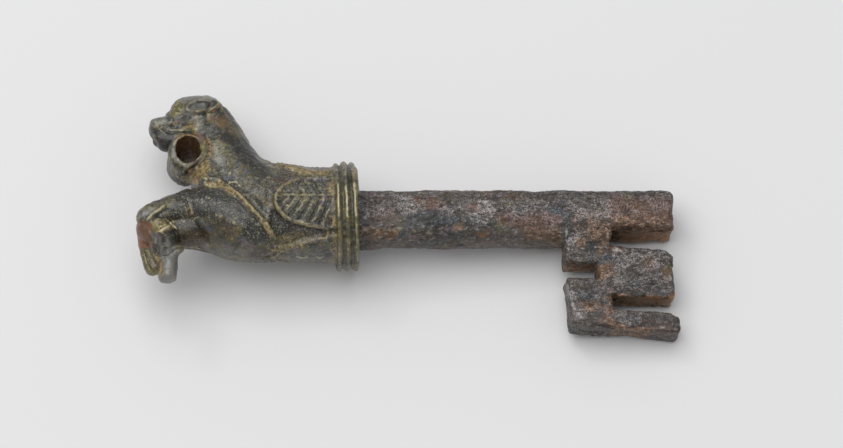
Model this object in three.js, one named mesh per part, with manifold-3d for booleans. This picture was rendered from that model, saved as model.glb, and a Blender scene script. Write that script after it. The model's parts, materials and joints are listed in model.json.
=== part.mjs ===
// Iron key with a cast bronze handle: the forepart of a hound springs out of a four-leaf calyx.
// Millimetres. In the key's own frame the bar runs along X with the collar's mouth at X = 0,
// the bit hangs towards -Y and the flanks face +Z and -Z. The finished key lies on its side.
import * as THREE from 'three';
import { mergeVertices } from 'three/addons/utils/BufferGeometryUtils.js';
import Module from 'manifold-3d';

const wasm = await Module();
wasm.setup();

// Iron bar and its tang
const barLength = 69.5;
const barHeight = 12.4;
const barWidth = 11.9;
const barSquareness = 2.5;
const barEndChamfer = 0.7;
const barSeat = 4.0;
const barFlatDepth = 3.4;
const tangLength = 20.0;
const tangRoot = 7.0;
const tangTip = 4.6;

// Iron bit: three rows of teeth on one web, cut by slots from both sides
const bitThickness = 7.7;
const bitInset = 23.9;
const bitReach = 25.9;
const upperToothDepth = 11.2;
const leftSlotWidth = 3.45;
const leftToothLength = 7.1;
const webWidth = 2.9;
const middleToothTop = 6.9;
const middleToothDepth = 18.7;
const rightSlotWidth = 3.4;
const middleToothLength = 13.8;
const lowerToothLength = 14.6;
const toothCorner = 1.6;
const footCorner = 0.6;
const slotFall = 0.045;
const edgeFall = 0.085;
const bitLean = 0.07;
const bitEdge = 0.45;
const scarfFoot = 8.6;
const scarfHead = 3.6;
const scarfRise = 1.9;
const bitLeft = barLength - bitInset;

// Collar and socket of the casting
const collarRadius = 12.0;
const collarLength = 4.8;
const collarGroove = 0.75;
const collarRibs = 3;
const ribHalfWidth = 0.55;
const collarLean = THREE.MathUtils.degToRad(1.3);
const collarSlant = THREE.MathUtils.degToRad(-2.3);
const sleeveHeight = 9.9;
const sleeveWidth = 9.7;
const sleeveRise = 0.7;
const calyxLength = 18.6;
const sleeveTail = 1.5;
const leafRelief = 0.8;
const flankLeafDrop = THREE.MathUtils.degToRad(10);
const boreWall = 0.9;
const castingRise = 0.5;
const castingTwist = THREE.MathUtils.degToRad(10);

// Suspension eye under the hound's chin, forward of the calyx's leaf tips and above the bar's axis
const eyeForward = 18.3;
const eyeHeight = 14.1;
const eyeRadius = 4.45;
const eyeLength = 9.4;
const eyeRim = 0.9;
const eyeHoleWidth = 2.8;
const eyeHoleHeight = 3.4;
const eyeHoleRise = 0.2;
const eyeHoleTaper = 0.72;
const eyeHoleTilt = THREE.MathUtils.degToRad(-8);

// Hound: half the spread of the forelegs, half sizes of wrist and paw, ears
const legSpread = 2.7;
const wristHalf = 2.5;
const pawHalf = 1.95;
const earHalfLength = 4.2;
const earLean = THREE.MathUtils.degToRad(-38);
const earTilt = THREE.MathUtils.degToRad(7);

// Clearances, and how far forms that are cast or forged in one run into each other
const seamGap = 0.3;
const mouthGap = 0.35;
const rootOverlap = 1.0;

// Sides of the round forms
const barSides = 28;
const collarSides = 32;
const boreSides = 36;

// Colours and finishes
const bronze = { color: 0x55534a, roughness: 0.55, metalness: 0.75 };
const iron = { color: 0x54463f, roughness: 0.8, metalness: 0.35 };
const forgedIron = { color: 0x4f4441, roughness: 0.82, metalness: 0.35 };
const lead = { color: 0x6b6d70, roughness: 0.7, metalness: 0.6 };

// Closed meshes as solids for joining and cutting, and back again

function signedVolume(positions, faces) {
  const a = new THREE.Vector3();
  const b = new THREE.Vector3();
  const c = new THREE.Vector3();
  let total = 0;
  for (let i = 0; i < faces.length; i += 3) {
    a.fromArray(positions, 3 * faces[i]);
    b.fromArray(positions, 3 * faces[i + 1]);
    c.fromArray(positions, 3 * faces[i + 2]);
    total += a.dot(b.cross(c)) / 6;
  }
  return total;
}

function solid(geometry) {
  const bare = geometry.clone();
  bare.deleteAttribute('normal');
  bare.deleteAttribute('uv');
  const merged = mergeVertices(bare, 1e-4);
  const vertProperties = new Float32Array(merged.attributes.position.array);
  const triVerts = new Uint32Array(merged.index.array);
  if (signedVolume(vertProperties, triVerts) < 0) {
    for (let i = 0; i < triVerts.length; i += 3) {
      [triVerts[i + 1], triVerts[i + 2]] = [triVerts[i + 2], triVerts[i + 1]];
    }
  }
  return new wasm.Manifold(new wasm.Mesh({ numProp: 3, vertProperties, triVerts }));
}

function joined(solids) {
  return solids.reduce((whole, next) => whole.add(next));
}

function mesh(name, body, finish) {
  const { vertProperties, triVerts } = body.getMesh();
  const geometry = new THREE.BufferGeometry();
  geometry.setAttribute('position', new THREE.BufferAttribute(vertProperties, 3));
  geometry.setIndex(new THREE.BufferAttribute(triVerts, 1));
  geometry.computeVertexNormals();
  const piece = new THREE.Mesh(geometry, new THREE.MeshStandardMaterial(finish));
  piece.name = name;
  return piece;
}

// A body swept through stations in the XY plane, each with a half height in that plane
// and a half width across it. Its ends are domes as long as their roundness says.
function loft(stations, { sides = 18, stepsPerSpan = 3, startRound = 0.8, endRound = 0.8 } = {}) {
  const centres = new THREE.CatmullRomCurve3(stations.map((s) => new THREE.Vector3(s.x, s.y, s.z ?? 0)));
  const sizes = new THREE.CatmullRomCurve3(stations.map((s) => new THREE.Vector3(s.high, s.wide, 0)));
  const steps = stepsPerSpan * (stations.length - 1);
  const rings = [];
  const addRing = (t, along, scale) => {
    const centre = centres.getPoint(t);
    const size = sizes.getPoint(t);
    const tangent = centres.getTangent(t);
    const normal = new THREE.Vector3(-tangent.y, tangent.x, 0).normalize();
    const across = new THREE.Vector3().crossVectors(tangent, normal);
    centre.addScaledVector(tangent, along * Math.min(size.x, size.y));
    const ring = [];
    for (let i = 0; i < sides; i += 1) {
      const angle = (2 * Math.PI * i) / sides;
      const point = centre.clone();
      point.addScaledVector(normal, scale * size.x * Math.cos(angle));
      point.addScaledVector(across, scale * size.y * Math.sin(angle));
      ring.push(point);
    }
    rings.push(ring);
  };
  const domeAngles = [Math.PI / 3, Math.PI / 6];
  if (startRound > 0) {
    domeAngles.forEach((angle) => addRing(0, -startRound * Math.sin(angle), Math.cos(angle)));
  }
  for (let i = 0; i <= steps; i += 1) {
    addRing(i / steps, 0, 1);
  }
  if (endRound > 0) {
    domeAngles.toReversed().forEach((angle) => addRing(1, endRound * Math.sin(angle), Math.cos(angle)));
  }
  const pole = (t, along) => {
    const size = sizes.getPoint(t);
    return centres.getPoint(t).addScaledVector(centres.getTangent(t), along * Math.min(size.x, size.y));
  };
  const points = [...rings.flat(), pole(0, -startRound), pole(1, endRound)];
  const faces = [];
  for (let r = 0; r < rings.length - 1; r += 1) {
    for (let i = 0; i < sides; i += 1) {
      const j = (i + 1) % sides;
      const a = r * sides;
      const b = a + sides;
      faces.push(a + i, b + i, b + j, a + i, b + j, a + j);
    }
  }
  const last = (rings.length - 1) * sides;
  for (let i = 0; i < sides; i += 1) {
    const j = (i + 1) % sides;
    faces.push(points.length - 2, i, j, points.length - 1, last + j, last + i);
  }
  const geometry = new THREE.BufferGeometry().setFromPoints(points);
  geometry.setIndex(faces);
  return solid(geometry);
}

function ellipsoid({ x, y, z = 0, length, height, width, tilt = 0, lean = 0 }) {
  const geometry = new THREE.SphereGeometry(1, 18, 12);
  geometry.scale(length, height, width);
  geometry.rotateX(lean);
  geometry.rotateZ(tilt);
  geometry.translate(x, y, z);
  return solid(geometry);
}

// The bar's section is a rounded square: its radius at an angle from the top
function barRadius(angle) {
  const high = Math.abs(Math.cos(angle)) / (barHeight / 2);
  const wide = Math.abs(Math.sin(angle)) / (barWidth / 2);
  return (high ** barSquareness + wide ** barSquareness) ** (-1 / barSquareness);
}

// The section's outline, grown all round by a clearance
function barSection(grow) {
  const points = [];
  for (let i = 0; i < barSides; i += 1) {
    const angle = (2 * Math.PI * i) / barSides;
    const radius = barRadius(angle) + grow;
    points.push(new THREE.Vector2(radius * Math.sin(angle), radius * Math.cos(angle)));
  }
  return new THREE.Shape(points);
}

// A flat outline in YZ pushed along X from one place to another
function prismAlongX(shape, from, to) {
  const geometry = new THREE.ExtrudeGeometry(shape, { depth: to - from, bevelEnabled: false });
  geometry.rotateY(Math.PI / 2);
  geometry.translate(from, 0, 0);
  return solid(geometry);
}

function boxBetween(low, high) {
  const geometry = new THREE.BoxGeometry(high[0] - low[0], high[1] - low[1], high[2] - low[2]);
  geometry.translate((low[0] + high[0]) / 2, (low[1] + high[1]) / 2, (low[2] + high[2]) / 2);
  return solid(geometry);
}

// A round profile about X: each point is a place along X and a radius there
function turnedGeometry(profile, segments) {
  const points = profile.map(([x, radius]) => new THREE.Vector2(radius, x));
  const geometry = new THREE.LatheGeometry(points, segments);
  geometry.rotateZ(-Math.PI / 2);
  return geometry;
}

function turned(profile, segments) {
  return solid(turnedGeometry(profile, segments));
}

// The tang is a square spike that tapers away from the bar's shoulder
function tang(grow) {
  const root = tangRoot / 2 + grow;
  const tip = tangTip / 2 + grow;
  const geometry = new THREE.CylinderGeometry(tip * Math.SQRT2, root * Math.SQRT2, tangLength + grow, 4);
  geometry.rotateY(Math.PI / 4);
  geometry.rotateZ(Math.PI / 2);
  geometry.translate(-barSeat - (tangLength + grow) / 2, 0, 0);
  return solid(geometry);
}

function shank() {
  const body = prismAlongX(barSection(0), -barSeat, barLength - barEndChamfer);
  const endPlate = 0.01;
  const end = new THREE.ExtrudeGeometry(barSection(-barEndChamfer), {
    depth: endPlate,
    bevelThickness: barEndChamfer,
    bevelSize: barEndChamfer,
    bevelSegments: 1,
  });
  end.rotateY(Math.PI / 2);
  end.translate(barLength - barEndChamfer - endPlate, 0, 0);
  const halfRoot = tangRoot / 2;
  const root = boxBetween([-barSeat - rootOverlap / 2, -halfRoot, -halfRoot], [0, halfRoot, halfRoot]);
  const flatStart = bitLeft + leftToothLength + webWidth;
  const flatEnd = barLength + rootOverlap;
  const underCut = boxBetween([flatStart, -barHeight, -barWidth], [flatEnd, -barFlatDepth, barWidth]);
  return joined([body, solid(end), root, tang(0)]).subtract(underCut);
}

// Rows of the bit fall a little towards the bar's end, and its left edge leans the same way
function slotRow(depth, x) {
  return -depth - slotFall * (x - bitLeft - leftToothLength);
}

function edgeRow(depth, x) {
  return -depth - edgeFall * (x - bitLeft - leftToothLength);
}

// The bit's root, forged up onto the bar's rounded side from the plane of each flank
function rootScarf(side) {
  const flank = bitThickness / 2;
  const points = [
    [flank - rootOverlap, -scarfFoot],
    [flank, -scarfFoot],
    [flank + scarfRise, -scarfHead],
    [flank - rootOverlap, -scarfHead],
  ];
  const shape = new THREE.Shape(points.map(([z, y]) => new THREE.Vector2(side * z, y)));
  return prismAlongX(shape, bitLeft + bitEdge, bitLeft + leftToothLength + webWidth);
}

function bit() {
  const webLeft = bitLeft + leftToothLength;
  const webRight = webLeft + webWidth;
  const middleEnd = webRight + middleToothLength;
  const lowerEnd = webRight + lowerToothLength;
  const leftEdge = (y) => bitLeft + bitLean * Math.max(0, -y - upperToothDepth);
  const slotTop = upperToothDepth;
  const slotBottom = upperToothDepth + leftSlotWidth;
  const lowerToothTop = middleToothDepth + rightSlotWidth;
  const outline = [
    [bitLeft, -barHeight / 4],
    [leftEdge(-slotTop), -slotTop],
    [webLeft, -slotTop],
    [webLeft, -slotBottom],
    [leftEdge(-slotBottom), -slotBottom],
    [leftEdge(-bitReach), edgeRow(bitReach, bitLeft)],
    [lowerEnd - footCorner, edgeRow(bitReach, lowerEnd - footCorner)],
    [lowerEnd, edgeRow(bitReach, lowerEnd) + footCorner],
    [lowerEnd, slotRow(lowerToothTop, lowerEnd) - toothCorner / 2],
    [lowerEnd - toothCorner, slotRow(lowerToothTop, lowerEnd)],
    [webRight, slotRow(lowerToothTop, webRight)],
    [webRight, slotRow(middleToothDepth, webRight)],
    [middleEnd - footCorner, slotRow(middleToothDepth, middleEnd)],
    [middleEnd, slotRow(middleToothDepth, middleEnd) + footCorner],
    [middleEnd, edgeRow(middleToothTop, middleEnd) - toothCorner],
    [middleEnd - toothCorner, edgeRow(middleToothTop, middleEnd - toothCorner)],
    [webRight, edgeRow(middleToothTop, webRight)],
    [webRight, -barHeight / 4],
  ];
  const shape = new THREE.Shape(outline.map(([x, y]) => new THREE.Vector2(x, y)));
  const geometry = new THREE.ExtrudeGeometry(shape, {
    depth: bitThickness - 2 * bitEdge,
    bevelThickness: bitEdge,
    bevelSize: bitEdge,
    bevelOffset: -bitEdge,
    bevelSegments: 1,
  });
  geometry.translate(0, 0, bitEdge - bitThickness / 2);
  const barSeatCut = prismAlongX(barSection(seamGap), 0, barLength);
  return joined([solid(geometry), rootScarf(1), rootScarf(-1)]).subtract(barSeatCut);
}

// Socket in the casting: a round mouth for the bar's full section, then a narrower bore
const mouthRadius = barRadius(Math.PI / 4) + mouthGap;
const boreRadius = (tangRoot / 2 + seamGap) * Math.SQRT2 + boreWall + seamGap;
const boreEnd = -barSeat - tangLength - boreWall - 2 * seamGap;
const seatFloor = -barSeat - seamGap;

function socket() {
  return turned([
    [boreEnd, 0],
    [boreEnd, boreRadius],
    [seatFloor, boreRadius],
    [seatFloor, mouthRadius],
    [rootOverlap, mouthRadius],
    [rootOverlap, 0],
  ], boreSides);
}

function leadBedding() {
  const filling = turned([
    [boreEnd + seamGap, 0],
    [boreEnd + seamGap, boreRadius - seamGap],
    [seatFloor - seamGap, boreRadius - seamGap],
    [seatFloor - seamGap, 0],
  ], boreSides);
  return filling.subtract(tang(seamGap));
}

// Collar: round ribs side by side, the whole ring leaning a little. A rib's profile is shares
// of its half width and of the groove's depth.
function collar() {
  const ribProfile = [[-1, 1], [-0.7, 0.3], [0, 0], [0.7, 0.3], [1, 1]];
  const pitch = (collarLength - 2 * ribHalfWidth) / (collarRibs - 1);
  const profile = [[-collarLength, 0]];
  for (let i = 0; i < collarRibs; i += 1) {
    const crest = -collarLength + ribHalfWidth + i * pitch;
    ribProfile.forEach(([along, depth]) => {
      profile.push([crest + along * ribHalfWidth, collarRadius - depth * collarGroove]);
    });
  }
  profile.push([0, 0]);
  const ring = turnedGeometry(profile, collarSides);
  ring.translate(collarLength / 2, 0, 0);
  ring.rotateY(collarSlant);
  ring.rotateZ(collarLean);
  ring.translate(-collarLength / 2, 0, 0);
  return solid(ring);
}

// Sleeve behind the collar, an oval tube that swells a little towards the hound.
// Each station is a place, a rise and what the half height and half width gain there.
function sleeve(grow) {
  const stations = [
    [-collarLength + rootOverlap, 0, 0, 0],
    [-(collarLength + calyxLength) / 2, 0, 0.15, 0.1],
    [-calyxLength, 0.7, 0.4, 0],
    [-calyxLength - sleeveTail, 0.8, 0, -0.4],
  ].map(([x, rise, taller, wider]) => ({
    x,
    y: sleeveRise + rise,
    high: sleeveHeight + taller + grow,
    wide: sleeveWidth + wider + grow,
  }));
  return loft(stations, { sides: 32, stepsPerSpan: 1, startRound: 0, endRound: 0 });
}

// A leaf's outline from its foot at the collar to its tip, as half widths along X
function leafOutline(halfWidths) {
  const span = calyxLength - collarLength;
  const edge = halfWidths.map(([share, half]) => new THREE.Vector2(-collarLength - share * span, half));
  const upper = new THREE.SplineCurve(edge).getPoints(2 * (edge.length - 1));
  const lower = upper.slice(0, -1).toReversed().map((point) => new THREE.Vector2(point.x, -point.y));
  const shape = new THREE.Shape();
  shape.moveTo(-collarLength + rootOverlap, upper[0].y);
  [...upper, ...lower].forEach((point) => shape.lineTo(point.x, point.y));
  shape.lineTo(-collarLength + rootOverlap, -upper[0].y);
  shape.closePath();
  return shape;
}

function leafPrism(halfWidths, turn) {
  const depth = 2 * sleeveHeight;
  const geometry = new THREE.ExtrudeGeometry(leafOutline(halfWidths), { depth, bevelEnabled: false });
  geometry.rotateX(turn);
  geometry.translate(0, sleeveRise, 0);
  return solid(geometry);
}

// Two round leaves lie low on the flanks, a broad one along the back and a narrow pointed one
// along the belly. A leaf is shares of its length with its half width there.
function calyxLeaves() {
  const flank = [[0, 6.1], [0.3, 5.9], [0.5, 5.6], [0.68, 4.9], [0.8, 4.1], [0.9, 3.0], [0.97, 1.8],
    [1, 0]];
  const back = [[0, 8.5], [0.4, 8.5], [0.75, 8.0], [0.95, 5.8], [1.06, 0]];
  const belly = [[0, 6.4], [0.1, 5.9], [0.25, 5.0], [0.55, 4.0], [0.86, 2.3], [0.98, 1.6], [1.03, 0]];
  const turns = [
    [flank, flankLeafDrop],
    [flank, Math.PI - flankLeafDrop],
    [belly, Math.PI / 2],
    [back, -Math.PI / 2],
  ];
  const shell = sleeve(leafRelief);
  return joined(turns.map(([halfWidths, turn]) => leafPrism(halfWidths, turn))).intersect(shell);
}

// The hound's own X is counted from the calyx's leaf tips, its Y and Z from the casting's axis.
// Its trunk is a neck, a throat, a chest and a brisket.
function torso() {
  const neck = loft([
    { x: 8.2, y: 1.0, high: 9.4, wide: 9.2 },
    { x: 2.2, y: 1.8, high: 10.0, wide: 9.5 },
    { x: -2.3, y: 4.6, high: 9.2, wide: 8.9 },
    { x: -6.2, y: 9.4, high: 7.2, wide: 7.4 },
    { x: -9.4, y: 14.8, high: 5.8, wide: 6.0 },
    { x: -11.4, y: 20.0, high: 5.3, wide: 5.2 },
    { x: -13.2, y: 24.3, high: 4.6, wide: 4.8 },
  ], { stepsPerSpan: 2 });
  const chest = loft([
    { x: 6.2, y: -1.5, high: 8.0, wide: 8.2 },
    { x: -0.8, y: -2.4, high: 7.8, wide: 8.6 },
    { x: -6.8, y: -2.5, high: 7.6, wide: 8.1 },
    { x: -11.8, y: -1.4, high: 6.9, wide: 7.1 },
    { x: -16.3, y: 1.0, high: 5.6, wide: 5.6 },
    { x: -18.8, y: 2.8, high: 4.0, wide: 4.4 },
  ], { stepsPerSpan: 2 });
  const throat = loft([
    { x: -12.4, y: 3.6, high: 5.0, wide: 6.2 },
    { x: -12.8, y: 8.4, high: 4.8, wide: 5.9 },
    { x: -13.2, y: 13.2, high: 4.5, wide: 5.4 },
    { x: -14.4, y: 18.4, high: 4.2, wide: 4.7 },
    { x: -15.6, y: 22.0, high: 4.0, wide: 4.4 },
  ], { stepsPerSpan: 2 });
  const brisket = ellipsoid({ x: -18.4, y: -3.2, length: 6.2, height: 3.8, width: 4.0 });
  return joined([neck, throat, chest, brisket]);
}

// One foreleg: the upper stretch runs from the shoulder to the bent wrist, the paw hangs from it
function foreleg(side, upper, paw) {
  const place = (stations) => stations.map(([x, y, z, high, wide]) => ({ x, y, z: side * z, high, wide }));
  return loft(place(upper), { sides: 16, stepsPerSpan: 2, endRound: 1 })
    .add(loft(place(paw), { sides: 14, stepsPerSpan: 2, startRound: 1, endRound: 0.45 }));
}

function forelegs() {
  const near = foreleg(1, [
    [1.0, -5.8, 3.9, 2.8, 3.2],
    [-5.4, -2.8, 4.8, 6.2, 4.3],
    [-11.4, 0.0, 4.4, 5.5, 3.9],
    [-17.9, 1.0, legSpread + 0.6, 3.7, 3.1],
    [-22.9, 0.3, legSpread + 0.2, 3.0, 2.7],
    [-27.4, -1.6, legSpread, wristHalf, wristHalf],
  ], [
    [-26.6, -1.8, legSpread, wristHalf, 2.4],
    [-24.7, -4.9, legSpread, 2.4, 2.4],
    [-23.1, -7.8, legSpread, 2.3, 2.6],
    [-22.9, -10.8, legSpread, pawHalf, 2.4],
    [-23.0, -13.6, legSpread, pawHalf, 2.4],
    [-23.2, -16.5, legSpread, pawHalf, 2.2],
  ]);
  const far = foreleg(-1, [
    [1.0, -5.8, 3.9, 2.8, 3.2],
    [-5.8, -3.4, 4.8, 4.4, 4.2],
    [-12.4, -2.6, 4.2, 3.9, 3.6],
    [-18.4, -2.9, legSpread + 0.5, 3.0, 2.8],
    [-23.4, -2.8, legSpread + 0.1, 2.8, 2.6],
    [-27.0, -3.4, legSpread, wristHalf + 0.1, wristHalf],
  ], [
    [-27.0, -3.8, legSpread, wristHalf, wristHalf],
    [-26.9, -7.6, legSpread, pawHalf + 0.1, 2.3],
    [-25.7, -11.8, legSpread, pawHalf, 2.1],
  ]);
  const wristWeb = ellipsoid({ x: -25.9, y: -3.0, length: 3.9, height: 3.4, width: 3.9 });
  const pawWeb = ellipsoid({ x: -25.0, y: -7.6, length: 1.8, height: 5.4, width: 2.0, tilt: 0.25 });
  return joined([near, far, wristWeb, pawWeb]);
}

// Head: one form from the nape to the nose, a narrower lower jaw, the lips that join them in
// front, and two ears laid back
function head() {
  const skull = loft([
    { x: -11.8, y: 25.4, high: 3.4, wide: 3.8 },
    { x: -14.2, y: 25.9, high: 4.2, wide: 4.6 },
    { x: -16.9, y: 25.7, high: 4.2, wide: 4.9 },
    { x: -18.7, y: 25.1, high: 3.95, wide: 4.8 },
    { x: -20.0, y: 23.9, high: 3.25, wide: 4.4 },
    { x: -21.2, y: 22.85, high: 2.65, wide: 3.9 },
    { x: -22.1, y: 22.4, high: 2.3, wide: 3.6 },
    { x: -23.6, y: 22.2, high: 2.25, wide: 3.3 },
    { x: -25.2, y: 21.9, high: 2.1, wide: 2.9 },
  ], { sides: 20, stepsPerSpan: 2, startRound: 0.5, endRound: 0.6 });
  const jaw = loft([
    { x: -18.9, y: 20.4, high: 3.0, wide: 3.4 },
    { x: -21.9, y: 19.6, high: 2.9, wide: 3.0 },
    { x: -23.6, y: 19.4, high: 2.7, wide: 2.6 },
  ], { stepsPerSpan: 2, endRound: 0.6 });
  const lips = ellipsoid({ x: -22.9, y: 20.7, length: 2.9, height: 2.9, width: 3.0 });
  const ears = [1, -1].map((side) => {
    const lean = side * earLean;
    const place = { x: -14.8, y: 25.8, z: side * 4.0, tilt: earTilt, lean };
    const lobe = ellipsoid({ ...place, length: earHalfLength, height: 2.7, width: 1.4 });
    const dishPlace = { ...place, x: place.x - 0.9, y: place.y - 0.5, z: place.z + side * 1.5 };
    const dish = ellipsoid({ ...dishPlace, length: earHalfLength - 1.4, height: 1.6, width: 0.8 });
    return { lobe, dish };
  });
  const whole = joined([skull, jaw, lips, ...ears.map((ear) => ear.lobe)]);
  return ears.reduce((body, ear) => body.subtract(ear.dish), whole);
}

// Suspension eye: a short thick tube set across the hound below its chin
function eyeLug() {
  const half = eyeLength / 2;
  const profile = [
    [-half, 0],
    [-half, eyeRadius - eyeRim],
    [-half + 0.4 * eyeRim, eyeRadius - 0.3 * eyeRim],
    [-half + 1.2 * eyeRim, eyeRadius],
    [half - 1.2 * eyeRim, eyeRadius],
    [half - 0.4 * eyeRim, eyeRadius - 0.3 * eyeRim],
    [half, eyeRadius - eyeRim],
    [half, 0],
  ];
  const points = profile.map(([z, radius]) => new THREE.Vector2(radius, z));
  const tube = new THREE.LatheGeometry(points, 32);
  tube.rotateX(Math.PI / 2);
  tube.translate(-eyeForward, eyeHeight, 0);
  return solid(tube);
}

// The hole runs right through, turned a little about the centre of its near mouth, and narrows
// towards the far side. Its cutter stands out of both mouths by a share of the eye's length.
function eyeHole() {
  const overrun = 0.4 * eyeLength;
  const cutter = turnedGeometry([
    [-eyeLength - overrun, 0],
    [-eyeLength - overrun, eyeHoleTaper],
    [-eyeLength, eyeHoleTaper],
    [0, 1],
    [overrun, 1],
    [overrun, 0],
  ], boreSides);
  cutter.rotateY(-Math.PI / 2);
  cutter.scale(eyeHoleWidth, eyeHoleHeight, 1);
  cutter.rotateX(eyeHoleTilt);
  cutter.translate(-eyeForward, eyeHeight + eyeHoleRise, eyeLength / 2);
  return solid(cutter);
}

// The casting stands in the key's frame a little high and turned about the bar
const castingPlace = new THREE.Matrix4().compose(
  new THREE.Vector3(0, castingRise, 0),
  new THREE.Quaternion().setFromAxisAngle(new THREE.Vector3(1, 0, 0), -castingTwist),
  new THREE.Vector3(1, 1, 1),
);

function handle() {
  const hound = joined([torso(), forelegs(), head(), eyeLug()]).subtract(eyeHole());
  const houndPlace = new THREE.Matrix4().makeTranslation(-calyxLength, 0, 0);
  const casting = joined([collar(), sleeve(0), calyxLeaves(), hound.transform(houndPlace.elements)]);
  return casting.transform(castingPlace.elements).subtract(socket());
}

// The key lies on the collar's rim, the underside of the bar's end and the bit's far corner.
// Turning it up by the roll about the bar and then the pitch about Y brings all three to one level.
function restingTurn() {
  const bitTipX = bitLeft + leftToothLength + webWidth + lowerToothLength - footCorner;
  const bitTipY = edgeRow(bitReach, bitTipX);
  const drop = collarRadius - barWidth / 2;
  const lever = -(bitTipY - castingRise + (castingRise * bitTipX) / barLength);
  const rise = collarRadius - (drop * bitTipX) / barLength;
  const halfBit = bitThickness / 2;
  const roll = Math.asin(rise / Math.hypot(lever, halfBit)) - Math.atan2(halfBit, lever);
  const pitch = Math.atan((drop - castingRise * Math.sin(roll)) / barLength);
  return new THREE.Euler(roll, pitch, 0, 'YXZ');
}

const key = new THREE.Group();
key.add(mesh('handle', handle(), bronze));
key.add(mesh('shank', shank(), iron));
key.add(mesh('bit', bit(), forgedIron));
key.add(mesh('lead_bedding', leadBedding(), lead));
key.rotation.copy(restingTurn());

const model = new THREE.Group();
model.add(key);
model.updateMatrixWorld(true);
const bounds = new THREE.Box3().setFromObject(key, true);
const middle = bounds.getCenter(new THREE.Vector3());
key.position.set(-middle.x, -middle.y, -bounds.min.z);

export default model;
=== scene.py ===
# Iron key with a cast bronze handle, lying on its side: patinated bronze and corroded iron.
import json
import math

import bpy
import numpy as np
from mathutils import Matrix, Vector, noise


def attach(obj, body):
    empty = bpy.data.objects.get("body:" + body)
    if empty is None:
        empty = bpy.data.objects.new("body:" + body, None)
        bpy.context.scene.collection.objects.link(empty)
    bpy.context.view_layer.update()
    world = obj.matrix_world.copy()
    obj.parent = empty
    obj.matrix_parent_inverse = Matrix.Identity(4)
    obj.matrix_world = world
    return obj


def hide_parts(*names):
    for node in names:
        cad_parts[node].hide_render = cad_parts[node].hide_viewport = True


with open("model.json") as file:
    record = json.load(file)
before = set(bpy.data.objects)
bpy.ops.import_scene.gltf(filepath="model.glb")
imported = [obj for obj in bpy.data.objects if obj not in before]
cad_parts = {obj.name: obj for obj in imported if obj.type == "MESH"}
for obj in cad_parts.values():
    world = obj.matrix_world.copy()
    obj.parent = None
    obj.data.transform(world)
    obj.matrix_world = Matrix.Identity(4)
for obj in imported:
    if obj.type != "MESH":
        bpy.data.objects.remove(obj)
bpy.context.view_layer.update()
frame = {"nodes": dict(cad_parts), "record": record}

MM = 0.001

# The key's own frame, read from its two flat faces: X along the bar, Z out of the bit's flank
BAR_LENGTH = 69.5
END_FACE_RISE = 0.5
faces = {mount["name"]: mount for mount in frame["record"]["mounts"]}
along = Vector(faces["shank_end"]["axis"]).normalized()
outward = Vector(faces["bit_flank"]["axis"]).normalized()
upward = outward.cross(along)
collar_mouth = Vector(faces["shank_end"]["pos_m"]) - along * BAR_LENGTH * MM - upward * END_FACE_RISE * MM
KEY = Matrix((along, upward, outward)).transposed().to_4x4()
KEY.translation = collar_mouth

# The casting sits a little high on the bar and is turned about it
CASTING_RISE = 0.5
CASTING_TWIST = math.radians(10)
CASTING = KEY @ Matrix.Translation((0, CASTING_RISE * MM, 0)) @ Matrix.Rotation(-CASTING_TWIST, 4, "X")

# Photograph: pixel where the collar's mouth lies, size of a pixel there, and how the camera stands
PHOTO_SIZE = (843, 448)
MOUTH_PIXEL = (356.3, 219.5)
PIXEL = 0.22 * MM
CAMERA_HEIGHT = math.radians(67)
CAMERA_TURN = math.radians(-2.1)
CAMERA_DISTANCE = 1.1
SENSOR = 36.0

camera_right = Vector((math.cos(CAMERA_TURN), math.sin(CAMERA_TURN), 0))
camera_up = Vector(
    (
        -math.sin(CAMERA_TURN) * math.sin(CAMERA_HEIGHT),
        math.cos(CAMERA_TURN) * math.sin(CAMERA_HEIGHT),
        math.cos(CAMERA_HEIGHT),
    )
)
camera_back = camera_right.cross(camera_up)
camera_target = collar_mouth - camera_right * (MOUTH_PIXEL[0] - PHOTO_SIZE[0] / 2) * PIXEL
camera_target += camera_up * (MOUTH_PIXEL[1] - PHOTO_SIZE[1] / 2) * PIXEL
camera_place = camera_target + camera_back * CAMERA_DISTANCE


def deselect_all():
    for obj in bpy.context.selected_objects:
        obj.select_set(False)


def make_active(obj):
    deselect_all()
    obj.select_set(True)
    bpy.context.view_layer.objects.active = obj


def apply_modifier(obj, kind, **settings):
    make_active(obj)
    modifier = obj.modifiers.new(kind.lower(), kind)
    for name, value in settings.items():
        setattr(modifier, name, value)
    bpy.ops.object.modifier_apply(modifier=modifier.name)


def merged_copy(node, name):
    source = frame["nodes"][node]
    piece = bpy.data.objects.new(name, source.data.copy())
    bpy.context.scene.collection.objects.link(piece)
    piece.data.materials.clear()
    make_active(piece)
    bpy.ops.object.mode_set(mode="EDIT")
    bpy.ops.mesh.select_all(action="SELECT")
    bpy.ops.mesh.remove_doubles(threshold=0.01 * MM)
    bpy.ops.object.mode_set(mode="OBJECT")
    return piece


def remeshed(piece, voxel, rounds):
    apply_modifier(piece, "REMESH", mode="VOXEL", voxel_size=voxel * MM)
    apply_modifier(piece, "SMOOTH", factor=0.5, iterations=rounds)


def points_of(piece, place):
    """Vertices and normals in a frame's own millimetres."""
    mesh = piece.data
    flat = np.empty(3 * len(mesh.vertices), np.float32)
    mesh.vertices.foreach_get("co", flat)
    world = flat.reshape(-1, 3).astype(float)
    normals = np.empty(3 * len(mesh.vertices), np.float32)
    mesh.vertex_normals.foreach_get("vector", normals)
    turn = np.array(place.to_3x3())
    local = (world - np.array(place.translation)) @ turn / MM
    return local, normals.reshape(-1, 3).astype(float) @ turn


def move_points(piece, place, local):
    turn = np.array(place.to_3x3())
    world = local * MM @ turn.T + np.array(place.translation)
    piece.data.vertices.foreach_set("co", world.astype(np.float32).ravel())
    piece.data.update()


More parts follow.
